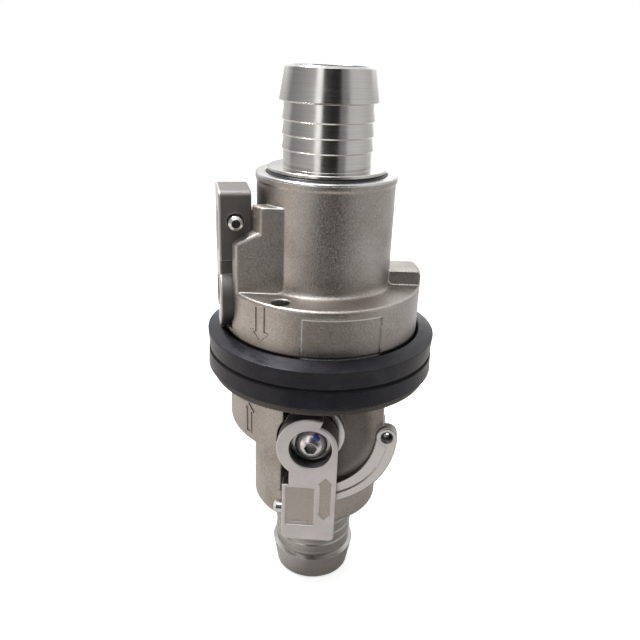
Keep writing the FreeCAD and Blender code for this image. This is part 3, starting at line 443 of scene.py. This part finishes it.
def lever_finish(half, colors):
    """Satin lever casting; the sunk panel and arrow keep a coarse floor."""
    made = Finish(half + "_lever_satin", roughness=0.4, metallic=1.0)
    place = made.place(half)
    x, y, z = made.parts(place)
    fine = made.noise(place, 4.5, 4.0, 0.6)
    coarse = made.noise(place, 2.2, 3.0, 0.6)
    cloud = made.ranged(made.noise(place, 0.10, 3.0), 0.35, 0.65)
    sunk = made.inside(y, *PANEL_FLOOR)
    back = made.ranged(y, *LEVER_SIDES)
    rough_cast = made.calc("MAXIMUM", sunk, back)
    color = made.blend(cloud, tuple(colors.lever), scaled(colors.lever, 0.90))
    # Raw cast sides, darker than the satin front and darkened further as painted shade
    shaded_cast = scaled(colors.casting, 0.28)
    floor = scaled(colors.casting, 1.25)
    # Painted shade in the bore round the screw
    shaded_pocket = made.all_of([made.below(made.length(x, z), POCKET_RADIUS), made.inside(y, *POCKET_DEPTH)])
    speckled = made.blend(made.ranged(coarse, 0.38, 0.62), scaled(floor, 0.72), floor)
    color = made.blend(made.calc("MULTIPLY", back, 0.9), made.blend(sunk, color, speckled), shaded_cast)
    color = made.blend(shaded_pocket, color, scaled(colors.lever, 0.42))
    normal, edge = made.soft_edge(0.0008)
    # Worn edges, lightened as a painted highlight
    wear_and_highlight = made.calc("MULTIPLY", edge, 0.75)
    color = made.blend(wear_and_highlight, color, tuple(colors.polished))
    rough = made.calc("ADD", made.ranged(fine, 0.3, 0.7, 0.33, 0.42),
                      made.calc("MULTIPLY", rough_cast, 0.12))
    rough = made.calc("SUBTRACT", rough, made.calc("MULTIPLY", shaded_pocket, 0.18))
    grain = made.calc("MULTIPLY", coarse, made.calc("ADD", 0.12, made.calc("MULTIPLY", rough_cast, 0.88)))
    height = made.calc("ADD", grain, made.calc("MULTIPLY", fine, 0.15))
    return made.done(color, rough, made.bump(height, 0.00018, 0.8, normal))


def turned_finish(name, half, color, roughness, depth, axis="z"):
    """Lathe-turned steel with fine rings round its axis."""
    made = Finish(name, roughness=roughness, metallic=1.0)
    place = made.place(half)
    stretch = {"z": (0.03, 0.03, 6.0), "y": (0.03, 6.0, 0.03)}[axis]
    rings = made.noise(made.stretched(place, *stretch), 1.0, 4.0, 0.7)
    coarse = made.noise(made.stretched(place, *(0.2 * part for part in stretch)), 1.0, 2.0)
    smudge = made.ranged(made.noise(place, 0.12, 3.0), 0.35, 0.65)
    tone = made.shaded(tuple(color), made.ranged(rings, 0.3, 0.7, 0.90, 1.06))
    normal, edge = made.soft_edge(0.0003)
    # Painted highlight along the turned edges
    bright = made.blend(made.calc("MULTIPLY", edge, 0.5), tone, TURNED_EDGE_HIGHLIGHT)
    rough = made.calc("ADD", made.ranged(rings, 0.3, 0.7, roughness - 0.04, roughness + 0.06),
                      made.calc("MULTIPLY", smudge, 0.06))
    height = made.calc("ADD", rings, made.calc("MULTIPLY", coarse, 0.6))
    return made.done(bright, rough, made.bump(height, depth, 0.6, normal))


def polished_finish(name, color, roughness):
    """Bright steel with faint handling marks."""
    made = Finish(name, roughness=roughness, metallic=1.0)
    place = made.place()
    marks = made.noise(made.stretched(place, 0.5, 0.5, 0.5), 1.0, 5.0, 0.7)
    fine = made.noise(place, 3.0, 3.0)
    normal = made.soft_edge(0.00025)[0]
    rough = made.ranged(marks, 0.35, 0.65, roughness - 0.03, roughness + 0.07)
    bright = made.blend(made.ranged(marks, 0.3, 0.7), tuple(color), scaled(color, 0.93))
    return made.done(bright, rough, made.bump(fine, 0.00002, 0.4, normal))


def screw_finish(color):
    """Polished button head; the hexagon's floor is darker and duller."""
    made = Finish("screw_steel", roughness=0.24, metallic=1.0)
    masks = []
    for half in HALVES:
        x, y, z = made.parts(made.place(half))
        masks.append(made.all_of([made.below(made.length(x, z), SOCKET_RADIUS),
                                  made.inside(y, *SOCKET_DEPTH)]))
    socket = made.calc("MAXIMUM", masks[0], masks[1])
    fine = made.noise(made.place(), 3.0, 3.0)
    tone = made.blend(socket, tuple(color), scaled(color, 0.42))
    normal, edge = made.soft_edge(0.0002)
    # Painted highlight along the head's edges
    tone = made.blend(made.calc("MULTIPLY", edge, 0.6), tone, SCREW_EDGE_HIGHLIGHT)
    rough = made.calc("ADD", made.ranged(fine, 0.3, 0.7, 0.21, 0.27), made.calc("MULTIPLY", socket, 0.22))
    return made.done(tone, rough, normal)


def rubber_finish(name, color, roughness, bloom):
    """Moulded rubber with a faint grey bloom, a painted highlight on its edges, and fine flow marks."""
    made = Finish(name, roughness=roughness)
    place = made.place()
    height_up = made.parts(place)[2]
    dust = made.ranged(made.noise(place, 0.09, 4.0, 0.6), 0.42, 0.70)
    flow = made.noise(made.stretched(place, 0.10, 0.10, 1.4), 1.0, 3.0)
    fine = made.noise(place, 3.2, 3.0)
    normal, edge = made.soft_edge(0.0005)
    # Dust bloom, and a painted highlight along the edges
    bloom_and_edge_highlight = made.calc("ADD", made.calc("MULTIPLY", dust, bloom), made.calc("MULTIPLY", edge, bloom))
    grey = made.blend(bloom_and_edge_highlight, tuple(color), RUBBER_BLOOM_AND_HIGHLIGHT)
    # Painted shade in the groove where the two rings meet
    joint_shade = made.inside(height_up, JOINT_HEIGHT - JOINT_HALF, JOINT_HEIGHT + JOINT_HALF, soft=0.25)
    grey = made.blend(joint_shade, grey, JOINT_SHADE)
    rough = made.calc("ADD", made.ranged(flow, 0.3, 0.7, roughness - 0.05, roughness + 0.07),
                      made.calc("MULTIPLY", dust, 0.08))
    rough = made.calc("ADD", rough, made.calc("MULTIPLY", joint_shade, 0.45))
    made.shader.inputs["Specular IOR Level"].default_value = RUBBER_SHEEN
    made.shader.inputs["Specular Tint"].default_value = (*RUBBER_TINT, 1)
    height = made.calc("ADD", fine, made.calc("MULTIPLY", flow, 0.5))
    return made.done(grey, rough, made.bump(height, 0.00003, 0.5, normal))


def plastic_finish(name, color):
    """Waxy white seat plastic with faint turning lines."""
    made = Finish(name, roughness=0.38)
    place = made.place()
    cloud = made.ranged(made.noise(place, 0.2, 3.0), 0.35, 0.65)
    lines = made.noise(made.stretched(place, 0.05, 0.05, 5.0), 1.0, 3.0)
    tone = made.blend(cloud, tuple(color), scaled(color, 0.95))
    rough = made.ranged(lines, 0.3, 0.7, 0.32, 0.44)
    return made.done(tone, rough, made.bump(lines, 0.00002, 0.4))


class COUPLING_OT_castings(bpy.types.Operator):
    """Finish the two castings"""

    bl_idname = "coupling.castings"
    bl_label = "Castings"

    def execute(self, context):
        for half in HALVES:
            dress(casting_finish(half, context.scene.coupling_finishes), half + "_body")
        return {"FINISHED"}


def wrapped(bm, radius, azimuth):
    """Wrap a flat mark (across, up, out) round the main axis."""
    for vert in bm.verts:
        across, up, out = vert.co
        angle = azimuth + across / radius
        reach = radius - MARK_SUNK + out
        vert.co = (reach * math.cos(angle), reach * math.sin(angle), up)


def flow_arrow(name, body, tip, tail, radius, azimuth, share, marks, material):
    """A raised outline of an arrow on the casting's round wall."""
    way = 1 if tip > tail else -1
    half_head, half_shaft = share * marks.arrow_head / 2, share * marks.arrow_shaft / 2
    neck = tip - way * half_head
    corners = [(0, tip), (half_head, neck), (half_shaft, neck), (half_shaft, tail),
               (-half_shaft, tail), (-half_shaft, neck), (-half_head, neck)]
    if way < 0:
        corners.reverse()
    bm = bmesh.new()
    bm.faces.new([bm.verts.new((across, up, 0)) for across, up in reversed(corners)])
    bm.normal_update()
    inset = bmesh.ops.inset_region(bm, faces=bm.faces[:], thickness=marks.arrow_line,
                                   use_boundary=True, use_even_offset=True)
    middle = [face for face in bm.faces if face not in inset["faces"]]
    bmesh.ops.delete(bm, geom=middle, context="FACES_ONLY")
    bmesh.ops.subdivide_edges(bm, edges=[edge for edge in bm.edges if edge.calc_length() > LONG_EDGE],
                              cuts=4, use_grid_fill=True)
    bmesh.ops.triangulate(bm, faces=bm.faces[:])
    raised = bmesh.ops.extrude_face_region(bm, geom=bm.faces[:])
    upper = [item for item in raised["geom"] if isinstance(item, bmesh.types.BMVert)]
    bmesh.ops.translate(bm, verts=upper, vec=(0, 0, marks.arrow_rise + MARK_SUNK))
    wrapped(bm, radius, azimuth)
    bmesh.ops.recalc_face_normals(bm, faces=bm.faces[:])
    return mesh_piece(name, bm, body, material)


class COUPLING_OT_flow_arrows(bpy.types.Operator):
    """Raise the two flow arrows on the castings"""

    bl_idname = "coupling.flow_arrows"
    bl_label = "Flow arrows"

    def execute(self, context):
        scene = context.scene
        marks = scene.coupling_marks
        made = Finish("arrow_casting", roughness=0.42, metallic=1.0)
        normal, edge = made.soft_edge(0.0003)
        # The raised line's edges are darkened as painted shade of the grooves beside it
        painted_groove_shade = scaled(scene.coupling_finishes.casting_shade, 0.30)
        made.done(made.blend(edge, tuple(scene.coupling_finishes.casting), painted_groove_shade), normal=normal)
        for half, (tip, tail, radius, azimuth, share) in FLOW_ARROWS.items():
            flow_arrow(half + "_flow_arrow", half + "_half", tip, tail, radius,
                       math.radians(azimuth), share, marks, made.material)
        return {"FINISHED"}


class COUPLING_OT_hose_tails(bpy.types.Operator):
    """Finish the two turned hose tails"""

    bl_idname = "coupling.hose_tails"
    bl_label = "Hose tails"

    def execute(self, context):
        color = context.scene.coupling_finishes.turned
        dress(turned_finish("bright_turned", "upper", color, 0.13, 0.000006), "upper_hose_tail")
        satin = scaled(color, 0.76)
        dress(turned_finish("satin_turned", "lower", satin, 0.26, 0.00003), "lower_hose_tail")
        return {"FINISHED"}


class COUPLING_OT_levers(bpy.types.Operator):
    """Finish the two levers"""

    bl_idname = "coupling.levers"
    bl_label = "Levers"

    def execute(self, context):
        for half in HALVES:
            dress(lever_finish(half, context.scene.coupling_finishes), half + "_lever")
        return {"FINISHED"}


def panel_bar(name, half, low, high, material):
    """A raised bar in a lever's panel, with its edges broken."""
    bm = bmesh.new()
    bmesh.ops.create_cube(bm, size=1)
    size = [last - first for first, last in zip(low, high)]
    middle = [(first + last) / 2 for first, last in zip(low, high)]
    bmesh.ops.scale(bm, verts=bm.verts[:], vec=size)
    bmesh.ops.translate(bm, verts=bm.verts[:], vec=middle)
    bmesh.ops.bevel(bm, geom=bm.edges[:], offset=min(size) * 0.3, offset_type="OFFSET", segments=2,
                    profile=0.5, affect="EDGES", material=-1)
    bmesh.ops.transform(bm, verts=bm.verts[:], matrix=VALVE_FRAMES[half])
    return mesh_piece(name, bm, half + "_lever_set", material)


class COUPLING_OT_panel_bars(bpy.types.Operator):
    """Raise the plain bar in each lever's panel"""

    bl_idname = "coupling.panel_bars"
    bl_label = "Panel bars"

    def execute(self, context):
        for half in HALVES:
            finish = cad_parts[half + "_lever"].data.materials[0]
            panel_bar(half + "_panel_bar", half, *PANEL_BAR, finish)
        return {"FINISHED"}


class COUPLING_OT_fasteners(bpy.types.Operator):
    """Finish screws, washers, lock pins, dowels and springs"""

    bl_idname = "coupling.fasteners"
    bl_label = "Fasteners"

    def execute(self, context):
        color = context.scene.coupling_finishes.polished
        dress(polished_finish("polished_steel", color, 0.16), *both("lock_pin"))
        dress(screw_finish(color), *both("lever_screw"))
        dress(polished_finish("satin_steel", scaled(color, 0.85), 0.28),
              *both("lock_dowel"), *both("lock_spring"))
        # The washers' steel is darkened as a painted dark reflection
        dress(polished_finish("washer_steel_painted_dark", scaled(color, 0.60), 0.14), *both("lever_washer"))
        return {"FINISHED"}


class COUPLING_OT_paint_dot(bpy.types.Operator):
    """Put the dot of paint on the lower lever's screw"""

    bl_idname = "coupling.paint_dot"
    bl_label = "Paint dot"

    def execute(self, context):
        scene = context.scene
        radius = scene.coupling_marks.dot_radius
        made = Finish("blue_paint", roughness=0.35)
        tone = made.ranged(made.noise(made.place(), 1.5, 3.0), 0.3, 0.7)
        color = scene.coupling_finishes.paint
        made.done(made.blend(tone, tuple(color), scaled(color, 1.5)))
        bm = bmesh.new()
        for across, up, size in PAINT_DABS:
            dab = bmesh.ops.create_circle(bm, cap_ends=True, segments=20, radius=radius * size)
            bmesh.ops.translate(bm, verts=dab["verts"], vec=(across, up, 0))
        bm.normal_update()
        bmesh.ops.inset_individual(bm, faces=bm.faces[:], thickness=radius * 0.3)
        for vert in bm.verts:
            across, up = vert.co.xy
            inner = all(not edge.is_boundary for edge in vert.link_edges)
            drop = SCREW_CROWN - math.sqrt(SCREW_CROWN ** 2 - across ** 2 - up ** 2)
            vert.co = (across, SCREW_PEAK + drop - (DAB_MIDDLE if inner else DAB_RIM), up)
        walls = bmesh.ops.extrude_face_region(bm, geom=bm.faces[:])
        lower = [item for item in walls["geom"] if isinstance(item, bmesh.types.BMVert)]
        bmesh.ops.translate(bm, verts=lower, vec=(0, DAB_THICKNESS, 0))
        bmesh.ops.transform(bm, verts=bm.verts[:], matrix=VALVE_FRAMES["lower"])
        bmesh.ops.recalc_face_normals(bm, faces=bm.faces[:])
        mesh_piece("paint_dot", bm, "lower_lever_set", made.material, smooth=True)
        return {"FINISHED"}


class COUPLING_OT_bumpers(bpy.types.Operator):
    """Finish the two rubber bumper rings"""

    bl_idname = "coupling.bumpers"
    bl_label = "Bumper rings"

    def execute(self, context):
        color = context.scene.coupling_finishes.rubber
        dress(rubber_finish("bumper_rubber", color, 0.27, 0.035), *both("bumper"))
        return {"FINISHED"}


class COUPLING_OT_seals(bpy.types.Operator):
    """Finish the O-rings and the face seal"""

    bl_idname = "coupling.seals"
    bl_label = "Seals"

    def execute(self, context):
        color = context.scene.coupling_finishes.seal
        dress(rubber_finish("seal_rubber", color, 0.34, 0.03),
              *both("tail_o_ring"), *both("carrier_o_ring"), "face_seal")
        return {"FINISHED"}


class COUPLING_OT_valve_parts(bpy.types.Operator):
    """Finish balls, stems, seats, carriers, packings and glands"""

    bl_idname = "coupling.valve_parts"
    bl_label = "Valve parts"

    def execute(self, context):
        finishes = context.scene.coupling_finishes
        dress(polished_finish("polished_ball", finishes.polished, 0.10), *both("ball"))
        dress(turned_finish("turned_ring", "lower", finishes.turned, 0.28, 0.00003), *both("seat_carrier"))
        for half in HALVES:
            stem = turned_finish(half + "_turned_stem", half, finishes.turned, 0.28, 0.00002, "y")
            dress(stem, half + "_stem", half + "_gland_nut")
        dress(plastic_finish("seat_plastic", finishes.seat), *both("front_seat"), *both("rear_seat"),
              *both("thrust_washer"), *both("stem_packing"))
        return {"FINISHED"}


def flat_stage(name, corners, material):
    """A staged face that isn't part of the object."""
    bm = bmesh.new()
    bm.faces.new([bm.verts.new(corner) for corner in corners])
    mesh = bpy.data.meshes.new(name)
    bm.to_mesh(mesh)
    bm.free()
    piece = bpy.data.objects.new(name, mesh)
    bpy.context.scene.collection.objects.link(piece)
    mesh.materials.append(material)
    return piece


def floor_paper():
    """Pale paper that looks white to the camera and keeps a soft shadow."""
    made = Finish("floor_paper", roughness=0.9)
    nodes, links = made.tree.nodes, made.tree.links
    path = nodes.new("ShaderNodeLightPath")
    made.done(made.blend(path.outputs["Is Glossy Ray"], FLOOR_PAPER, FLOOR_REFLECTED))
    made.shader.inputs["Specular IOR Level"].default_value = 0.0
    glow = nodes.new("ShaderNodeEmission")
    links.new(path.outputs["Is Camera Ray"], glow.inputs["Strength"])
    glow.inputs["Color"].default_value = (*FLOOR_GLOW, 1)
    together = nodes.new("ShaderNodeAddShader")
    links.new(made.shader.outputs[0], together.inputs[0])
    links.new(glow.outputs[0], together.inputs[1])
    links.new(together.outputs[0], nodes["Material Output"].inputs["Surface"])
    return made.material


# Area lamps: place, the point they face, size and share of the lamp's power
SOFTBOXES = {
    "top_softbox": ((-0.15, -0.35, 0.95), (0, 0, 0.12), (0.7, 0.5), 0.75),
    "right_softbox": ((0.75, -0.35, 0.45), (0, 0, 0.10), (0.25, 0.7), 0.35),
    "back_softbox": ((-0.24, 0.42, 0.95), (0, 0, 0.14), (0.32, 0.32), 0.9),
    "sheen_softbox": ((-0.33, 0.085, 0.91), (0, 0, 0.13), (0.16, 0.16), 1.8),
    "rear_softbox": ((0.05, 0.95, 0.56), (0, 0, 0.16), (0.9, 0.25), 0.3),
}
FLOOR_REACH, FLOOR_HEIGHT = 6.0, -0.0002
# The floor's colour in even light and in reflections, and its own glow towards the camera
FLOOR_PAPER, FLOOR_REFLECTED = (0.80, 0.80, 0.80), (0.48, 0.455, 0.435)
FLOOR_GLOW = (0.55, 0.55, 0.55)

# The tent's cloth as the hose tail (high) and the castings (low) see it: degrees right of the
# lower lever, brightness
TENT_HIGH = [
    (-180, 0.50), (-135, 0.48), (-112, 0.44), (-98, 0.20), (-72, 0.24), (-42, 0.34), (-31, 0.42),
    (-26, 1.0), (-17, 1.0), (-11, 0.06), (10, 0.02), (27, 0.02), (33, 0.16), (46, 0.19),
    (54, 0.44), (85, 0.46), (112, 0.40), (140, 0.46), (180, 0.50),
]
TENT_LOW = [
    (-180, 0.70), (-120, 0.62), (-85, 0.86), (-48, 0.86), (-36, 0.60), (-27, 0.04), (0, 0.01),
    (34, 0.01), (52, 0.30), (85, 0.42), (115, 0.36), (140, 0.60), (180, 0.70),
]
# The highest cloth is bright at the back and like the tail's at the front
TENT_TOP = ([(-180, 0.85), (-132, 0.85), (-118, 0.44)] + TENT_HIGH[3:-3]
            + [(118, 0.40), (132, 0.85), (180, 0.85)])
# Heights over which one cloth gives way to the next
TENT_CHANGE, TENT_TOP_CHANGE = (0.115, 0.160), (0.258, 0.300)
# How strongly the cloth shines
TENT_LIGHT = 1.5
# The low cloth's left side is warm, from one angle to another
WARM_SIDE, WARM_TINT = (-110, -20), (1.0, 0.92, 0.86)
# The tent's radius, its height and where its foot stands
TENT_RADIUS, TENT_HEIGHT, TENT_FOOT = 0.34, 0.5, -0.001


def cloth_bands(nodes, links, share, bands, warm=False):
    """A colour ramp round the tent."""
    ramp = nodes.new("ShaderNodeValToRGB")
    links.new(share, ramp.inputs[0])
    stops = ramp.color_ramp.elements
    for number, (degrees, level) in enumerate(bands):
        position = (degrees + 180) / 360
        stop = stops[number] if number < 1 else stops.new(position)
        stop.position = position
        tint = WARM_TINT if warm and WARM_SIDE[0] < degrees < WARM_SIDE[1] else (1, 1, 1)
        stop.color = (*scaled(tint, level), 1)
    return ramp.outputs[0]


def by_height(nodes, links, height, change, low, high):
    """One cloth below a change of height and another above it."""
    rise = nodes.new("ShaderNodeMapRange")
    rise.inputs["From Min"].default_value, rise.inputs["From Max"].default_value = change
    links.new(height, rise.inputs["Value"])
    mix = nodes.new("ShaderNodeMix")
    mix.data_type = "RGBA"
    links.new(rise.outputs[0], mix.inputs[0])
    links.new(low, mix.inputs[6])
    links.new(high, mix.inputs[7])
    return mix.outputs[2]


def light_tent():
    """A standing tent of light and dark cloth, seen only in reflections."""
    material = bpy.data.materials.new("tent_cloth")
    material.use_nodes = True
    nodes, links = material.node_tree.nodes, material.node_tree.links
    nodes.clear()
    split = nodes.new("ShaderNodeSeparateXYZ")
    links.new(nodes.new("ShaderNodeTexCoord").outputs["Object"], split.inputs[0])
    front = nodes.new("ShaderNodeMath")
    front.operation = "MULTIPLY"
    front.inputs[1].default_value = -1
    links.new(split.outputs["Y"], front.inputs[0])
    angle = nodes.new("ShaderNodeMath")
    angle.operation = "ARCTAN2"
    links.new(split.outputs["X"], angle.inputs[0])
    links.new(front.outputs[0], angle.inputs[1])
    share = nodes.new("ShaderNodeMapRange")
    share.inputs["From Min"].default_value = -math.pi
    share.inputs["From Max"].default_value = math.pi
    links.new(angle.outputs[0], share.inputs["Value"])
    low = cloth_bands(nodes, links, share.outputs[0], TENT_LOW, warm=True)
    high = cloth_bands(nodes, links, share.outputs[0], TENT_HIGH)
    lower_cloth = by_height(nodes, links, split.outputs["Z"], TENT_CHANGE, low, high)
    top = cloth_bands(nodes, links, share.outputs[0], TENT_TOP)
    whole = by_height(nodes, links, split.outputs["Z"], TENT_TOP_CHANGE, lower_cloth, top)
    cloth = nodes.new("ShaderNodeEmission")
    cloth.inputs["Strength"].default_value = TENT_LIGHT
    links.new(whole, cloth.inputs["Color"])
    out = nodes.new("ShaderNodeOutputMaterial")
    links.new(cloth.outputs[0], out.inputs["Surface"])
    bm = bmesh.new()
    bmesh.ops.create_cone(bm, cap_ends=False, segments=96, radius1=TENT_RADIUS, radius2=TENT_RADIUS,
                          depth=TENT_HEIGHT)
    bmesh.ops.translate(bm, verts=bm.verts[:], vec=(0, 0, TENT_FOOT + TENT_HEIGHT / 2))
    mesh = bpy.data.meshes.new("light_tent")
    bm.to_mesh(mesh)
    bm.free()
    tent = bpy.data.objects.new("light_tent", mesh)
    bpy.context.scene.collection.objects.link(tent)
    mesh.materials.append(material)
    for ray in ("camera", "diffuse", "transmission", "volume_scatter", "shadow"):
        setattr(tent, "visible_" + ray, False)


def daylight(strength):
    """Even light; white where the camera or a reflection sees it."""
    world = bpy.data.worlds.new("studio_daylight")
    bpy.context.scene.world = world
    world.use_nodes = True
    nodes, links = world.node_tree.nodes, world.node_tree.links
    sky = nodes["Background"]
    sky.inputs["Color"].default_value = (1, 1, 1, 1)
    path = nodes.new("ShaderNodeLightPath")
    seen = nodes.new("ShaderNodeMath")
    seen.operation = "MAXIMUM"
    links.new(path.outputs["Is Camera Ray"], seen.inputs[0])
    links.new(path.outputs["Is Glossy Ray"], seen.inputs[1])
    level = nodes.new("ShaderNodeMapRange")
    level.inputs["To Min"].default_value = strength
    level.inputs["To Max"].default_value = 1.0
    links.new(seen.outputs[0], level.inputs["Value"])
    links.new(level.outputs[0], sky.inputs["Strength"])


def softbox(name, place, aim, size, power):
    """An area lamp that faces a point and stays out of the picture."""
    light = bpy.data.lights.new(name, "AREA")
    light.shape = "RECTANGLE"
    light.size, light.size_y = size
    light.energy = power
    lamp = bpy.data.objects.new(name, light)
    bpy.context.scene.collection.objects.link(lamp)
    way = Vector(aim) - Vector(place)
    lamp.visible_camera = False
    lamp.matrix_world = Matrix.Translation(place) @ way.to_track_quat("-Z", "Y").to_matrix().to_4x4()


class COUPLING_OT_studio(bpy.types.Operator):
    """Set up floor, light and the photograph's camera"""

    bl_idname = "coupling.studio"
    bl_label = "Studio"

    def execute(self, context):
        scene = context.scene
        studio = scene.coupling_studio
        corners = [(x * FLOOR_REACH, y * FLOOR_REACH, FLOOR_HEIGHT)
                   for x, y in ((-1, -1), (1, -1), (1, 1), (-1, 1))]
        flat_stage("floor", corners, floor_paper())
        light_tent()
        daylight(studio.daylight)
        for name, (place, aim, size, share) in SOFTBOXES.items():
            softbox(name, place, aim, size, studio.lamp_power * share)
        camera = bpy.data.cameras.new("camera")
        camera.sensor_width = 36
        camera.lens = camera.sensor_width * studio.focal_pixels / PHOTO_SIDE
        camera.clip_start = 0.01
        viewer = bpy.data.objects.new("camera", camera)
        scene.collection.objects.link(viewer)
        round_axis = Matrix.Rotation(studio.azimuth, 4, "Z")
        stand = Matrix.Translation((-studio.side, -studio.distance, studio.height))
        aim = Matrix.Rotation(math.pi / 2 - studio.pitch, 4, "X") @ Matrix.Rotation(studio.roll, 4, "Z")
        viewer.matrix_world = round_axis @ stand @ aim
        scene.camera = viewer
        scene.view_settings.view_transform = "Standard"
        return {"FINISHED"}


STEPS = (
    COUPLING_OT_castings, COUPLING_OT_flow_arrows, COUPLING_OT_hose_tails, COUPLING_OT_levers,
    COUPLING_OT_panel_bars, COUPLING_OT_fasteners, COUPLING_OT_paint_dot, COUPLING_OT_bumpers,
    COUPLING_OT_seals, COUPLING_OT_valve_parts, COUPLING_OT_studio,
)


class COUPLING_PT_panel(bpy.types.Panel):
    """The coupling's pieces, one button each"""

    bl_idname = "COUPLING_PT_panel"
    bl_label = "Dry Break Coupling"
    bl_space_type = "VIEW_3D"
    bl_region_type = "UI"
    bl_category = "Coupling"

    def draw(self, context):
        for step in STEPS:
            self.layout.operator(step.bl_idname)


CLASSES = (CouplingFinishes, CouplingMarks, CouplingStudio) + STEPS + (COUPLING_PT_panel,)


def register():
    for item in CLASSES:
        bpy.utils.register_class(item)
    bpy.types.Scene.coupling_finishes = bpy.props.PointerProperty(type=CouplingFinishes)
    bpy.types.Scene.coupling_marks = bpy.props.PointerProperty(type=CouplingMarks)
    bpy.types.Scene.coupling_studio = bpy.props.PointerProperty(type=CouplingStudio)


def unregister():
    del bpy.types.Scene.coupling_studio
    del bpy.types.Scene.coupling_marks
    del bpy.types.Scene.coupling_finishes
    for item in reversed(CLASSES):
        bpy.utils.unregister_class(item)


def main():
    register()
    bpy.ops.coupling.castings()
    bpy.ops.coupling.flow_arrows()
    bpy.ops.coupling.hose_tails()
    bpy.ops.coupling.levers()
    bpy.ops.coupling.panel_bars()
    bpy.ops.coupling.fasteners()
    bpy.ops.coupling.paint_dot()
    bpy.ops.coupling.bumpers()
    bpy.ops.coupling.seals()
    bpy.ops.coupling.valve_parts()
    bpy.ops.coupling.studio()


if __name__ == "__main__":
    main()
